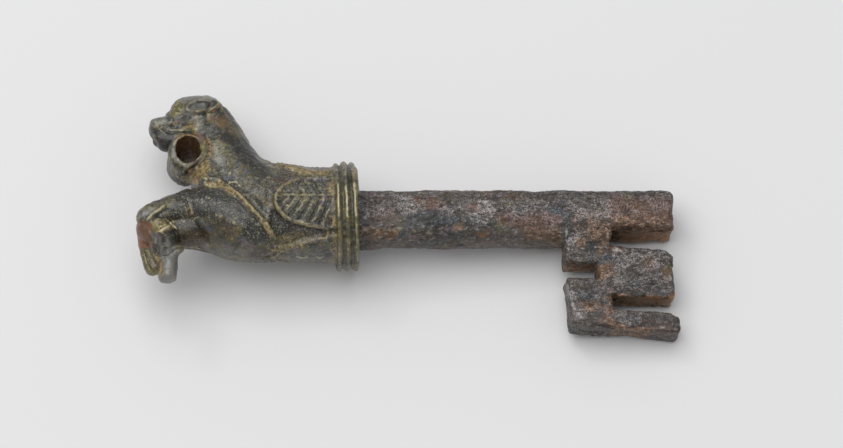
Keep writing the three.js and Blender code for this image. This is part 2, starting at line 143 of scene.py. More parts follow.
def seen(local, normals, place, side):
    """Photo pixels where points are seen, and how squarely; with a side of -1 their mirror image is."""
    flip = np.ones(local.shape)
    flip[:, 2] = side
    turn = np.array(place.to_3x3())
    facing = (normals * flip) @ turn.T
    ray = local * flip * MM @ turn.T + np.array(place.translation) - np.array(camera_place)
    scale = CAMERA_DISTANCE / (-(ray @ np.array(camera_back))) / PIXEL
    x = PHOTO_SIZE[0] / 2 + ray @ np.array(camera_right) * scale
    y = PHOTO_SIZE[1] / 2 - ray @ np.array(camera_up) * scale
    return np.column_stack([x, y]), facing @ np.array(camera_back)


def folded(local, normals, place):
    """Photo pixels with everything beyond the middle plane taken for its mirror image."""
    return seen(local, normals, place, np.where(local[:, 2] < 0, -1, 1))[0]


def both_flanks(local, normals, place):
    """Near flank as the photo shows it and far one as its mirror image: pixels, how squarely seen, share."""
    near = (*seen(local, normals, place, 1), 1.0)
    far = (*seen(local, normals, place, -1), smoothstep(-normals[:, 2], 0, 0.3))
    return near, far


def line_distance(points, line):
    """Distance of each point to a polyline, in the points' own plane."""
    line = np.array(line, float)
    best = np.full(len(points), np.inf)
    for start, end in zip(line[:-1], line[1:]):
        step = end - start
        share = np.clip((points - start) @ step / (step @ step), 0, 1)
        gap = points - start - share[:, None] * step
        best = np.minimum(best, np.sqrt((gap**2).sum(1)))
    return best


def depth_inside(points, outline):
    """Distance to a closed outline, positive inside it."""
    ring = np.array([*outline, outline[0]], float)
    crossings = np.zeros(len(points), int)
    for (x0, y0), (x1, y1) in zip(ring[:-1], ring[1:]):
        if y0 != y1:
            spans = (points[:, 1] >= min(y0, y1)) & (points[:, 1] < max(y0, y1))
            crossings += spans & (points[:, 0] < x0 + (points[:, 1] - y0) * (x1 - x0) / (y1 - y0))
    distance = line_distance(points, ring)
    return np.where(crossings % 2 == 1, distance, -distance)


def bell(distance, width):
    return np.exp(-((distance / width) ** 2))


def smoothstep(value, low, high):
    share = np.clip((value - low) / (high - low), 0, 1)
    return share * share * (3 - 2 * share)


def rough_field(local, size, seed, stretch=(1, 1, 1), octaves=4):
    """Fractal noise of about -1 to 1 at each point, with lumps of a size in mm."""
    scaled = local / (size * np.array(stretch)) + seed
    return np.array([noise.fractal(point, 0.7, 2.1, octaves) for point in scaled.tolist()])


def wander(local):
    """Shifts of photo pixels by noise of two sizes, so that what is drawn in them has worn edges."""
    total = np.zeros((len(local), 2))
    for size, share, seed in ((3.5, 1.0, 61.0), (1.0, 0.5, 83.0)):
        total += share * np.column_stack([rough_field(local, size, seed + turn, octaves=2) for turn in (0.0, 7.3)])
    return total


def store(piece, name, values):
    attribute = piece.data.attributes.new(name, "FLOAT", "POINT")
    attribute.data.foreach_set("value", np.asarray(values, np.float32))


def softened(piece, place, line, width, rounds):
    """Smooths the near and far flank along a line drawn in the photo's pixels."""
    local, normals = points_of(piece, place)
    share = bell(line_distance(folded(local, normals, place), line), width)[:, None]
    apply_modifier(piece, "SMOOTH", factor=0.5, iterations=rounds)
    smooth, _ = points_of(piece, place)
    move_points(piece, place, local + share * (smooth - local))


def relief_of(piece, rounds, scale):
    """How far each vertex stands out of its smoothed surroundings, in shares of scale mm."""
    blurred = piece.copy()
    blurred.data = piece.data.copy()
    bpy.context.scene.collection.objects.link(blurred)
    apply_modifier(blurred, "SMOOTH", factor=0.5, iterations=rounds)
    sharp, normals = points_of(piece, KEY)
    soft, _ = points_of(blurred, KEY)
    bpy.data.objects.remove(blurred)
    return np.clip(((sharp - soft) * normals).sum(1) / scale, -1, 1)


# Calyx, unrolled from the casting's axis: X along it and degrees up from the middle of the flank.
# The rim runs along the flank leaf, round the notch between two leaves and along the belly leaf.
SLEEVE_RISE = 0.7
ARC = math.radians(1) * 10.6
LEAF_RIM = [
    (-5.3, 24.5), (-12.2, 23.5), (-13.7, 17.0), (-15.3, 12.5), (-16.8, 8.0), (-17.6, 3.0), (-18.3, -4.5),
    (-18.5, -12.5), (-18.2, -19.5), (-17.4, -26.0), (-16.2, -33.5), (-14.5, -37.5), (-12.4, -40.0),
    (-10.3, -42.5), (-8.3, -44.5), (-7.0, -47.5), (-6.8, -52.5), (-7.1, -58.0), (-8.2, -60.0),
    (-10.2, -62.5), (-12.2, -66.0), (-14.1, -70.0), (-16.1, -75.5), (-17.6, -80.5), (-18.4, -90.0),
]
FLANK_LEAF = [*LEAF_RIM[:16], (-5.3, -47.0)]
BACK_RIM = [
    (-5.3, 26.5), (-8.0, 28.0), (-9.9, 33.5), (-11.9, 40.0), (-13.8, 43.5), (-17.2, 58.0), (-19.0, 75.0),
    (-19.4, 90.0),
]
NOTCH = [*LEAF_RIM[7:23], (-19.5, -75.0), (-20.5, -50.0), (-20.0, -20.0)]
MIDRIB = -4.0
VEIN_STARTS = [-18.0, -16.0, -14.4, -12.3, -10.3, -8.3, -6.4, -4.5]


def unrolled(line):
    return [(x, angle * ARC) for x, angle in line]


def carve_calyx(local):
    """Lifts of the calyx in mm, and as masks its rims and a painted highlight along one side of each vein."""
    angle = np.degrees(np.arctan2(local[:, 1] - SLEEVE_RISE, np.abs(local[:, 2])))
    radial = np.hypot(local[:, 1] - SLEEVE_RISE, local[:, 2])
    flat = np.column_stack([local[:, 0], angle * ARC])
    here = smoothstep(radial, 8.0, 9.0) * smoothstep(local[:, 0], -21.5, -19.0) * smoothstep(-local[:, 0], 4.9, 5.3)
    rim = bell(line_distance(flat, unrolled(LEAF_RIM)), 0.34)
    top_edge = smoothstep(angle, 12, 20) * smoothstep(local[:, 0], -14.5, -12.5)
    rim *= 1 - 0.7 * top_edge
    back_rim = bell(line_distance(flat, unrolled(BACK_RIM)), 0.4)
    leaf = depth_inside(flat, unrolled(FLANK_LEAF))
    across = np.abs(angle - MIDRIB) * ARC
    sweep = np.interp(local[:, 0], [-17, -12, -7], [0.75, 0.48, 0.3])
    index = np.interp(local[:, 0] + sweep * across, VEIN_STARTS, np.arange(-1, len(VEIN_STARTS) - 1))
    pitch = np.interp(local[:, 0], [-16, -12], [1.6, 2.05])
    vein = bell((index - np.round(index)) * pitch, 0.3)
    # Painted highlight along one side of each vein
    edge = bell((index - np.round(index)) * pitch + 0.5, 0.2) * smoothstep(across, 0.2, 0.8)
    upper = angle > MIDRIB
    vein *= np.where(upper, 0.6 * smoothstep(local[:, 0] - 0.5 * across, -15.5, -13.0), 1.0)
    within = smoothstep(leaf, 0.5, 1.1) * here
    lift = within * (-0.22 - 0.54 * vein * smoothstep(across, 0.1, 0.5) + 0.16 * bell(across, 0.35))
    lift += 0.34 * rim * here + 0.3 * back_rim * here
    lift -= 0.45 * smoothstep(depth_inside(flat, unrolled(NOTCH)), 0.3, 1.2) * here
    back = smoothstep(angle, 48, 54) * here
    ribs = np.cos(2 * math.pi * (local[:, 0] + 0.4 * (90 - angle) * ARC) / 1.25)
    lift += back * (0.08 * ribs - 0.08)
    return lift, np.clip(rim + back_rim, 0, 1) * here, edge * within * np.where(upper, 0.25, 0.5)


# Marks of the hound as seen in the photograph, in its pixels: line, half width, height in mm
RIDGES = [
    ([(219.0, 181.5), (225, 185.2), (232, 190.0), (242.2, 199.0), (254.4, 211.3), (265.5, 223.5),
      (271.8, 231.5), (275, 238)], 1.9, 0.6),
    ([(160.6, 123.9), (165.1, 127.6), (169.6, 129.9), (178.6, 130.2), (189, 129.8)], 0.8, 0.1),
    ([(146.5, 219.5), (152, 214.5), (158, 210.5), (163.4, 206.6)], 1.8, 0.4),
    ([(157, 233), (161, 231.2), (164.5, 228.3), (168.4, 226.4), (172.5, 226.9), (177, 230)], 1.3, 0.35),
    ([(163, 220), (167.5, 220.5), (172, 224), (176, 228)], 1.2, 0.25),
    ([(188.5, 203), (190.5, 207.5), (192.6, 213.5)], 1.2, 0.25),
    ([(202, 178.3), (208, 177.4), (216, 178.3), (222, 181)], 1.3, 0.3),
    ([(181, 248.3), (187, 246.8), (194, 246.2), (200, 248)], 1.2, 0.2),
    ([(186, 169), (195, 163.5), (202, 156), (204.8, 149), (204, 141), (200, 135.5)], 2.2, 0.1),
    ([(229, 182.6), (236.5, 182.2), (240.5, 186.5)], 0.9, 0.15),
    ([(172.6, 118.6), (169, 124), (170, 128)], 1.5, 0.15),
    ([(203.5, 113.4), (208.5, 111.2), (213.5, 107.8), (218.2, 102.9)], 1.0, 0.15),
]
GROOVES = [
    ([(228, 182.8), (238, 190.0), (246, 196.8), (256, 206.6), (266, 218)], 1.2, 0.35),
    ([(236, 198.0), (246, 207.0), (255, 216.5), (262, 226), (268, 235)], 1.2, 0.35),
    ([(160.5, 126.4), (164.6, 130.2), (169, 132.2), (174.2, 132.8), (182.5, 132.8), (190, 132.2)], 1.2, 0.4),
    ([(204.5, 113.5), (203.4, 116.5), (205.5, 121)], 1.8, 0.35),
    ([(184, 198.6), (187, 203), (188.4, 208), (189.8, 213.9)], 1.2, 0.3),
    ([(156, 252.0), (160, 254.6), (166, 255.2), (172, 252.5), (177, 248.5)], 1.1, 0.3),
    ([(143.5, 252), (146.5, 261), (150.5, 269)], 1.3, 0.45),
    ([(156.5, 256), (159.5, 264), (162.0, 273)], 1.1, 0.35),
    ([(152, 220), (158, 215.6), (164, 211), (168, 210)], 1.6, 0.3),
    ([(178.6, 103.6), (178.0, 105.4)], 1.1, 0.25),
    ([(181.9, 103.4), (181.5, 105.2)], 0.9, 0.2),
    ([(175.6, 109.4), (177.4, 110.6)], 1.1, 0.2),
    ([(172.5, 115.2), (176, 116.6), (181.5, 115.4)], 1.3, 0.16),
    ([(187, 172.5), (197, 166), (205, 157.5), (208.3, 149), (207.5, 140), (203, 134)], 1.5, 0.4),
    ([(177.6, 126.5), (184, 124.6), (192, 123.8)], 1.4, 0.18),
]
PUSHES = [
    ([(152, 119), (158, 117), (164, 115)], 4.5, 0.45),
    ([(148.5, 121), (147.5, 127)], 3.5, 0.2),
    ([(169, 109.5), (169, 107)], 2.5, -0.25),
    ([(176, 99), (182, 97)], 5.0, 0.2),
    ([(226, 109), (235, 120), (242, 131), (248, 140)], 5.5, 0.38),
    ([(209, 96.5), (215, 99)], 5.0, 0.25),
    ([(261, 155), (272, 161)], 6.0, -0.45),
    ([(311, 166), (333, 166)], 7.0, -0.22),
    ([(338, 162), (347, 162)], 5.0, 0.42),
    ([(355, 170), (357, 192)], 3.0, 0.4),
    ([(150.5, 137), (153, 147)], 4.0, -0.35),
    ([(171, 181), (175, 185)], 5.0, 0.85),
    ([(178.5, 249), (181, 250)], 4.5, 1.3),
    ([(265, 261), (269, 260)], 3.2, -1.0),
    ([(146, 203), (152, 201)], 6.0, 0.25),
    ([(136.5, 222), (136.5, 246)], 4.0, 0.15),
    ([(140.5, 256), (143, 265)], 5.0, 0.55),
    ([(158, 278), (160, 282)], 5.0, 0.4),
]
RECESS = [(204.6, 181.4), (217.8, 181.8), (218.2, 188.0), (205.4, 187.6)]
NECK_CREASE = [(206, 128), (213, 142), (219.5, 153), (221.4, 166), (224.3, 174.3), (227.5, 184)]
KNUCKLE = (168.0, 240.0)
MUZZLE_CREASE = (156.5, 137.0)
EAR = (199.3, 105.4)
EAR_HALVES = (12.0, 4.9)
EAR_TILT = math.radians(-13)


def oval(points, centre, halves, tilt):
    """Distance from an oval's centre in shares of its half sizes."""
    turn = np.array([[math.cos(tilt), -math.sin(tilt)], [math.sin(tilt), math.cos(tilt)]])
    return np.hypot(*(((points - centre) @ turn) / halves).T)


def carve_hound(pixels):
    lift = np.zeros(len(pixels))
    for line, width, height in RIDGES:
        lift += height * bell(line_distance(pixels, line), width)
    for line, width, depth in GROOVES:
        lift -= depth * bell(line_distance(pixels, line), width)
    lift -= 0.35 * smoothstep(depth_inside(pixels, RECESS), -0.6, 0.8)
    knuckle = np.hypot(*(pixels - KNUCKLE).T)
    lift += 0.28 * bell(knuckle, 6.5) - 0.15 * bell(knuckle - 9.4, 1.5)
    lift += 0.6 * bell(np.hypot(*(pixels - MUZZLE_CREASE).T), 3.5)
    ear = oval(pixels, EAR, EAR_HALVES, EAR_TILT)
    return lift - 0.16 * smoothstep(1 - ear, -0.02, 0.2)


# Colour zones of the casting as seen in the photograph, in its pixels: outline, softness, strength
SOIL = [
    ([(334, 176), (338, 176), (338.5, 262), (334.5, 262)], 1.0, 0.6),
    ([(203.5, 157), (209.5, 156), (210.5, 168), (205, 176.5), (198, 183), (185, 183.5), (184, 176.5),
      (189, 172), (198, 167.5)], 2.2, 1.15),
    ([(206, 136), (211.5, 139), (212.5, 158), (206.5, 158), (208.5, 149)], 2.0, 0.8),
    ([(204.6, 182.0), (218, 182.2), (218.4, 188.2), (205.0, 188.0)], 0.8, 2.4),
    ([(217.5, 181.5), (227, 184.5), (236.5, 190), (246.5, 199), (255.5, 207), (261, 214), (255, 214),
      (243, 203.5), (232.5, 194.5), (219, 187.5)], 1.4, 1.5),
    ([(255.5, 208), (262, 216), (270, 226), (276, 236), (271.5, 238), (262.5, 225), (252.5, 211)], 1.4, 1.1),
    ([(174, 139), (181, 134), (192, 132), (202, 133), (207, 138), (197, 136.5), (186, 136)], 2.5, 0.6),
    ([(182.5, 124.0), (191, 123.6), (193, 128.4), (183, 129.4)], 1.6, 0.9),
    ([(170.5, 120.4), (179, 119.8), (179, 123.6), (171, 123.8)], 1.6, 0.75),
    ([(192.5, 138.0), (198, 139.5), (199, 146), (194, 143)], 1.5, 0.8),
    ([(204, 113.5), (209, 111.2), (214, 107.6), (218.4, 102.6), (219.6, 105), (214.5, 110.5), (206, 115.3)], 1.0, 1.25),
    ([(156, 226.5), (160, 221.5), (166, 219.5), (176.5, 227), (177, 230.5), (168, 229.5), (161, 234), (156, 232)],
     2.2, 0.9),
    ([(152.5, 252), (157.5, 254), (162, 266), (162.5, 275), (158, 274), (154.5, 262)], 1.4, 0.9),
    ([(143, 255), (147, 254), (152, 263), (152.5, 268), (148, 265)], 1.6, 0.6),
    ([(265, 202), (273, 202), (274, 208), (266, 208)], 1.8, 0.7),
    ([(188, 206.5), (191.5, 206.5), (193.6, 213.5), (190, 214)], 1.2, 1.0),
    ([(268, 247), (283, 243.5), (290, 246), (276, 254), (266, 255)], 2.2, 0.55),
    ([(272, 250), (290, 244.5), (308, 239.5), (325, 234.5), (326.5, 238), (310, 243.5), (292, 249), (275, 254)],
     1.5, 0.55),
    ([(272, 161.5), (286, 163), (304, 167.5), (332, 170.4), (332, 176), (306, 175), (284, 170), (272, 167)], 2.2, 0.9),
    ([(326.5, 177), (333.5, 177), (334.5, 201), (327.5, 200)], 2.0, 0.7),
    ([(330, 213), (336.5, 213), (336.5, 229), (330, 229)], 1.6, 0.9),
    ([(170.5, 167.5), (178, 167.5), (178.5, 174.5), (171, 174.5)], 1.8, 0.8),
    ([(180.5, 176), (184, 176), (184, 181), (180, 181)], 1.2, 0.8),
    ([(284, 235), (300, 231), (318, 229), (324, 233), (306, 239.5), (290, 246), (280, 249)], 2.5, 0.35),
]
# Reddish-brown patina; one zone is the ear's cast shadow, painted brown
BROWN_AND_SHADE = [
    ([(136, 221.5), (146, 222), (151.5, 226), (152.5, 246), (139, 249)], 1.6, 1.5),
    ([(174, 140), (186, 133.5), (199, 134), (207, 141), (203, 143), (197, 138.5), (186, 138), (178, 143)], 1.5, 0.9),
    # Painted shadow cast by the ear
    ([(203.5, 112.5), (215, 110), (224, 115), (232, 125), (236, 134), (226, 133), (214, 124), (205, 123)], 3.5, 0.55),
    ([(205.6, 97), (212.5, 98), (212.5, 106), (206, 109)], 1.8, 0.5),
    ([(206.5, 134), (210.5, 139), (212, 152), (209.5, 158), (208.5, 146)], 1.0, 1.5),
    ([(188, 124), (198, 121), (202, 127), (192, 131)], 2.5, 0.5),
    ([(154, 254), (160, 258), (163.5, 270), (161.5, 275), (157, 268)], 1.5, 1.3),
    ([(219, 217), (230, 219), (240, 228), (238, 237), (224, 233)], 3.0, 0.4),
    ([(262, 176), (276, 176.5), (292, 181), (286, 185), (270, 181)], 2.5, 0.7),
]
# Painted shade in dark umber: the hollow between forelegs and chest, under the jaw, under the eye's lug and beside its
# ring, low on the belly and the leaf
UMBER_SHADE = [
    ([(178, 219), (194, 220), (206, 228), (210, 241), (196, 244), (178, 244)], 2.5, 1.8),
    ([(157, 133), (172, 133), (170, 150), (158, 152)], 2.0, 0.9),
    ([(206, 218), (222, 218), (236, 228), (240, 240), (228, 244), (210, 240)], 5.0, 0.6),
    ([(168, 177), (184.5, 175), (186, 187), (173, 188)], 2.0, 1.2),
    ([(200, 150), (206, 150), (204, 160), (196, 168), (186, 174), (184, 170), (196, 162)], 1.5, 1.2),
    ([(286, 223), (320, 228), (327, 231), (326, 238), (300, 243), (284, 247), (286, 232)], 4.0, 0.6),
    ([(160, 138), (167, 138), (168, 158), (161, 158)], 1.5, 0.8),
    ([(246, 252), (270, 246), (276, 250), (266, 260), (250, 262)], 3.0, 0.8),
    ([(270, 167), (290, 171), (306, 176), (286, 178), (272, 174)], 3.0, 0.7),
]
OLIVE = [
    ([(183, 119), (194, 119), (196, 132), (184, 134)], 2.5, 0.8),
    ([(172.5, 101.5), (179, 99.5), (182, 103), (181.5, 113), (176, 117), (171, 114)], 2.0, 1.3),
    ([(200, 135), (207, 139), (208, 156), (202, 161), (202, 148)], 2.0, 0.9),
    ([(139.5, 248), (152, 249), (155, 262), (159, 276), (150, 277), (141, 262)], 2.0, 0.85),
    ([(149, 220.5), (158, 218.5), (159, 229), (154, 234), (151, 226)], 1.5, 1.2),
    ([(165, 229), (171, 228.5), (173, 234), (166, 235)], 1.8, 0.9),
    ([(178, 245.5), (200, 244.5), (204, 251), (190, 254), (178, 251)], 1.8, 0.8),
    ([(166, 160), (180, 166), (186, 178), (176, 187), (168, 178)], 2.5, 1.1),
    ([(216, 126), (228, 140), (238, 156), (232, 166), (218, 156), (212, 138)], 6.0, 0.6),
    ([(148, 204), (168, 198), (186, 196), (184, 204), (160, 210), (144, 214)], 3.0, 0.6),
    ([(200, 240), (226, 244), (240, 254), (224, 258), (200, 248)], 4.0, 0.5),
    ([(270, 238), (290, 236), (300, 232), (300, 244), (276, 252)], 3.0, 0.7),
    ([(334, 178), (360, 178), (360, 262), (334, 262)], 3.0, 0.5),
]
# Dark patina patches, and painted shade under the jaw and mouth, along the recess's top edge and below the eye's ring
DARK_AND_SHADE = [
    ([(214, 200), (236, 200), (250, 213), (253, 224), (234, 222), (216, 214)], 3.0, 0.9),
    ([(244, 174), (262, 176), (268, 190), (262, 198), (250, 190)], 3.0, 0.75),
    ([(262, 210), (271, 210), (272, 217), (264, 217)], 1.5, 1.2),
    ([(159, 131), (173, 132), (172, 142), (161, 143)], 1.8, 1.2),
    ([(163, 160), (173, 162), (184, 172), (184, 188), (170, 188), (163, 174)], 2.0, 1.1),
    ([(162, 199), (182, 198), (184, 206), (166, 208)], 2.5, 0.6),
    ([(284, 214), (300, 219), (330, 224), (330, 213), (300, 208)], 2.0, 0.8),
    ([(268, 228), (276, 236), (288, 244), (280, 250), (270, 246)], 2.0, 0.6),
    ([(149, 129), (160, 129.5), (172, 132), (173, 141), (166, 156), (152, 152), (146, 138)], 2.0, 1.8),
    ([(161, 136), (168, 137), (168, 148), (164, 155), (159, 150)], 1.5, 1.5),
    ([(181.5, 104), (187, 104.5), (188, 112), (186.5, 121), (181.5, 121), (183, 112)], 1.6, 0.6),
    ([(163.5, 121.7), (174, 121.2), (174, 128), (165, 129)], 1.8, 0.9),
    ([(176, 218), (197, 219), (204, 227), (196, 231), (178, 230)], 2.5, 0.9),
    ([(167, 158), (176, 164), (186, 168), (196, 167), (187, 177), (187, 187), (172, 188), (166, 175)], 2.5, 0.75),
    ([(284, 200), (332, 200), (326, 228), (300, 224), (286, 214)], 3.0, 0.65),
    ([(271, 253), (280, 251), (277, 259), (272, 260)], 1.2, 1.0),
    ([(205, 124), (212, 124), (223, 130), (233, 134), (243, 139), (253, 150), (264, 162), (272, 169),
      (262, 172), (250, 168), (240, 160), (231, 149), (222, 141), (212, 133), (205, 129)], 2.5, 1.2),
    ([(178, 190), (200, 187.5), (222, 192), (238, 203), (252, 217), (246, 226), (228, 216), (200, 217),
      (184, 216), (170, 204)], 4.0, 1.2),
    ([(243, 219), (256, 217), (266, 229), (270, 240), (258, 242), (244, 236)], 2.2, 1.3),
    ([(266, 213), (276, 214), (297, 224), (293, 231), (278, 238), (270, 228)], 2.2, 1.25),
    ([(159, 233), (166, 229.5), (175, 230), (178, 240), (177, 247), (168, 249.5), (159, 246)], 1.8, 1.1),
    ([(204.6, 179.8), (214, 180.0), (214, 181.8), (204.6, 181.8)], 0.7, 1.4),
    ([(163, 208), (175, 206), (180, 214), (178, 219), (165, 216)], 2.5, 1.0),
    ([(169.0, 158), (175.4, 160), (186, 168), (198, 166), (196, 172), (184, 176), (176, 168), (170, 168)], 1.8, 1.0),
    ([(216, 183), (229, 179), (243, 181), (247, 193), (236, 188), (224, 182)], 3.0, 0.6),
    ([(270, 186), (277, 184), (274, 196), (275, 208), (267, 200)], 2.5, 0.7),
    ([(250, 168), (262, 170), (272, 178), (262, 181), (250, 176)], 3.0, 0.8),
    ([(146, 253), (149.5, 255), (155.5, 270), (152, 270)], 1.2, 1.0),
    ([(238, 190), (243, 193), (253, 203), (261, 212), (258, 213), (248, 203)], 1.2, 0.9),
]
# Grey zones: partly the patina's grey tone, partly painted highlight and painted reflection of the pale table, as on
# the cheek, the forearm's top, the shoulder and the belly
GREY_AND_SHEEN = [
    ([(158, 251), (168, 256), (177.5, 250), (178.5, 266), (176, 284), (157.5, 285), (161, 272), (163, 264)],
     1.2, 1.3),
    ([(189, 112.5), (201, 112.0), (203, 120), (199, 127), (193, 127), (189, 119)], 1.8, 1.6),
    ([(189, 103), (203, 100.8), (207, 104), (202, 109.6), (190.5, 110)], 1.5, 1.0),
    ([(186, 112), (206, 110), (208, 116), (204, 126), (190, 130)], 2.5, 0.9),
    ([(174, 122), (190, 114), (194, 128), (176, 129)], 2.5, 0.9),
    ([(222, 166), (240, 170), (250, 184), (252, 196), (240, 188), (225, 178)], 5.0, 0.55),
    ([(208, 248), (232, 246), (262, 248), (268, 252), (250, 263), (226, 260), (210, 254)], 3.0, 0.55),
    ([(276, 257), (293, 250), (330, 243), (334, 262), (290, 266)], 2.5, 0.35),
    ([(138, 219), (140, 211), (150, 206), (160, 205.5), (152, 214)], 2.5, 1.0),
    ([(190, 196), (202, 195), (212, 203), (208, 208), (196, 204)], 2.5, 0.6),
    ([(149, 117), (157, 113), (166, 114), (169, 120), (162, 124), (152, 128)], 2.0, 0.8),
    ([(172, 100), (186, 95), (210, 95), (217, 101), (206, 101.5), (190, 101), (182, 106), (176, 107)], 2.0, 0.9),
    ([(152, 206), (168, 199), (184, 196), (182, 201), (164, 208)], 2.5, 0.5),
    ([(190, 177), (195, 176), (196, 190), (190, 191)], 1.5, 0.9),
    ([(213, 142), (220, 143), (226, 150), (229, 160), (226, 168), (215, 166), (212, 154)], 3.0, 0.9),
    ([(169, 144), (174, 137), (178, 137), (175.5, 146), (177, 156), (181, 161), (176, 163), (170, 156)], 1.4, 0.7),
]
SMOOTH = [
    ([(186, 191), (222, 191), (246, 207), (252, 221), (230, 218), (200, 216), (186, 210)], 4.0, 0.35),
    ([(203, 112), (222, 106), (240, 126), (262, 156), (276, 166), (262, 178), (244, 170), (234, 156),
      (226, 144), (212, 134), (203, 127)], 3.0, 0.85),
    ([(140, 214), (150, 204), (172, 196), (186, 196), (180, 206), (160, 214), (146, 222)], 3.0, 0.6),
    ([(158, 229), (178, 229), (179, 251), (158, 251)], 2.0, 1.0),
    ([(139, 250), (156, 251), (163, 272), (158, 278), (146, 276)], 2.0, 0.7),
    ([(163, 112), (190, 112), (190, 130), (165, 130)], 2.5, 0.6),
    ([(196, 226), (240, 216), (244, 232), (210, 236)], 4.0, 0.5),
    ([(135, 220), (158, 222), (159, 249), (138, 251)], 1.5, 1.0),
    ([(178, 222), (205, 222), (226, 230), (242, 242), (262, 243), (272, 252), (252, 266), (222, 263),
      (205, 250), (178, 252)], 4.0, 0.9),
    ([(158, 251), (177, 250), (180, 284), (156, 286)], 1.5, 0.9),
    ([(276, 257), (293, 249), (330, 242), (334, 262), (290, 266)], 3.0, 0.8),
    ([(204, 180), (219, 180), (219, 188), (204, 188)], 1.5, 0.7),
    ([(333.5, 176), (361, 176), (361, 264), (333.5, 264)], 2.0, 0.85),
    ([(188, 110), (203, 110), (204, 124), (188, 124)], 2.0, 0.6),
    ([(184, 97), (212, 96), (216, 103), (206, 113), (188, 114)], 2.0, 1.0),
    ([(150, 131), (172, 132), (174, 141), (165, 153), (154, 149)], 2.0, 0.9),
    ([(203.5, 156), (210, 154), (211, 166), (205, 176), (196, 183), (184, 184), (184, 178), (198, 168)], 2.0, 0.8),
    ([(149, 118), (166, 115), (171, 121), (163, 125), (151, 124)], 2.0, 0.7),
    ([(172, 130), (204, 130), (209, 150), (200, 170), (176, 168), (168, 150)], 2.0, 1.0),
]
# Thin pale lines: partly pale worn edges, partly painted highlights and glints, as along the wrist, the ring's rim and
# the collar's ribs
PALE_AND_HIGHLIGHT_LINES = [
    ([(160.6, 124.1), (165.1, 127.9), (169.6, 130.1), (178.6, 130.4), (189, 130)], 0.6, 0.5),
    ([(190.2, 102.6), (187.9, 105.2), (187.0, 108.3), (188.6, 111.0), (193, 112.2), (199, 111.4)], 0.6, 0.85),
    ([(190.2, 102.6), (197, 99.6), (205, 98.0), (212, 98.4)], 0.6, 0.5),
    ([(204.5, 112.6), (208.5, 111), (213.5, 107.5), (218, 103.2)], 0.6, 0.8),
    ([(216.5, 100), (218.6, 102.4)], 1.0, 1.0),
    ([(195.5, 113), (197.5, 119), (198, 126)], 2.6, 0.55),
    ([(216, 142), (216, 152), (218, 162)], 3.0, 0.4),
    ([(153.5, 126), (151.7, 120), (153.6, 115.8), (158, 114)], 0.8, 0.3),
    ([(161, 125.6), (162.4, 126.4)], 1.0, 1.0),
    ([(173.8, 144.7), (178, 141), (184, 137.2)], 0.8, 0.9),
    ([(176.7, 159.7), (179.6, 164.3), (185, 165.2), (190, 163.7), (195.4, 161.6), (199.6, 158.6)], 0.7, 0.7),
    ([(229, 182.6), (236.5, 182.2), (240.5, 186.5)], 0.7, 1.2),
    ([(147.5, 219.2), (152, 215.0), (158, 211.0), (163.4, 206.9)], 1.4, 0.85),
    ([(160.6, 231.9), (164.5, 228.6), (168.4, 226.7)], 1.0, 1.5),
    ([(160.6, 226.4), (165.6, 224.5)], 0.7, 0.9),
    ([(164.9, 219.2), (169, 222), (175.6, 228.2)], 0.9, 1.0),
    ([(155.6, 238.5), (155.4, 243)], 0.8, 0.8),
    ([(160, 246.4), (165, 246.4)], 0.6, 0.7),
    ([(222, 183.2), (230, 187.6), (238, 193.4), (246, 200.6), (254, 208.2), (262, 217.6), (270, 228)], 0.8, 0.45),
    ([(181, 248.3), (187, 246.8), (194, 246.2), (200, 248)], 0.8, 0.7),
    ([(192.5, 220.5), (195.5, 217.8), (198.4, 216.4)], 0.7, 0.9),
    ([(296, 257), (302, 258.5), (308, 257)], 0.8, 0.8),
    ([(316, 257), (320, 258.5), (323, 257)], 0.8, 0.8),
    ([(157.4, 256.4), (160.4, 258.4)], 0.8, 0.9),
    ([(206, 184.7), (217, 185)], 2.2, 0.6),
    ([(277.5, 196), (283, 196.5)], 1.3, 0.6),
    ([(338.0, 184), (338.4, 216)], 0.8, 1.3),
    ([(338.4, 216), (339.4, 262)], 0.7, 0.5),
    ([(345.8, 186), (347.0, 216)], 1.0, 1.3),
    ([(347.0, 216), (347.8, 262)], 0.7, 0.35),
    ([(354.0, 184), (356.2, 216)], 0.9, 1.2),
    ([(356.2, 216), (357.6, 262)], 0.8, 0.6),
]


def pushed(pixels, pushes):
    return sum(push * bell(line_distance(pixels, line), width) for line, width, push in pushes)


def zone(flanks, shift, patches):
    total = np.zeros(len(shift))
    for pixels, facing, share in flanks:
        found = np.zeros(len(shift))
        for outline, soft, strength in patches:
            reach = np.array(outline)
            inside = (pixels + shift > reach.min(0) - 1.5 * soft) & (pixels + shift < reach.max(0) + 1.5 * soft)
            close = np.flatnonzero(inside.all(1))
            depth = depth_inside((pixels + shift)[close], outline)
            found[close] = np.maximum(found[close], strength * smoothstep(depth, -1.5 * soft, 1.5 * soft))
        total = np.maximum(total, found * share * smoothstep(facing, -0.2, 0.0))
    return total


def drawn_lines(flanks, shift, lines):
    total = np.zeros(len(shift))
    for pixels, facing, share in flanks:
        for line, width, strength in lines:
            found = strength * bell(line_distance(pixels + shift, line), width)
            total = np.maximum(total, found * share * smoothstep(facing, -0.2, 0.0))
    return total


# Suspension eye in the casting's frame: place, and the hole's half size
EYE = (-36.9, 14.3)
EYE_HOLE = 3.5
EYE_LENGTH = 9.4


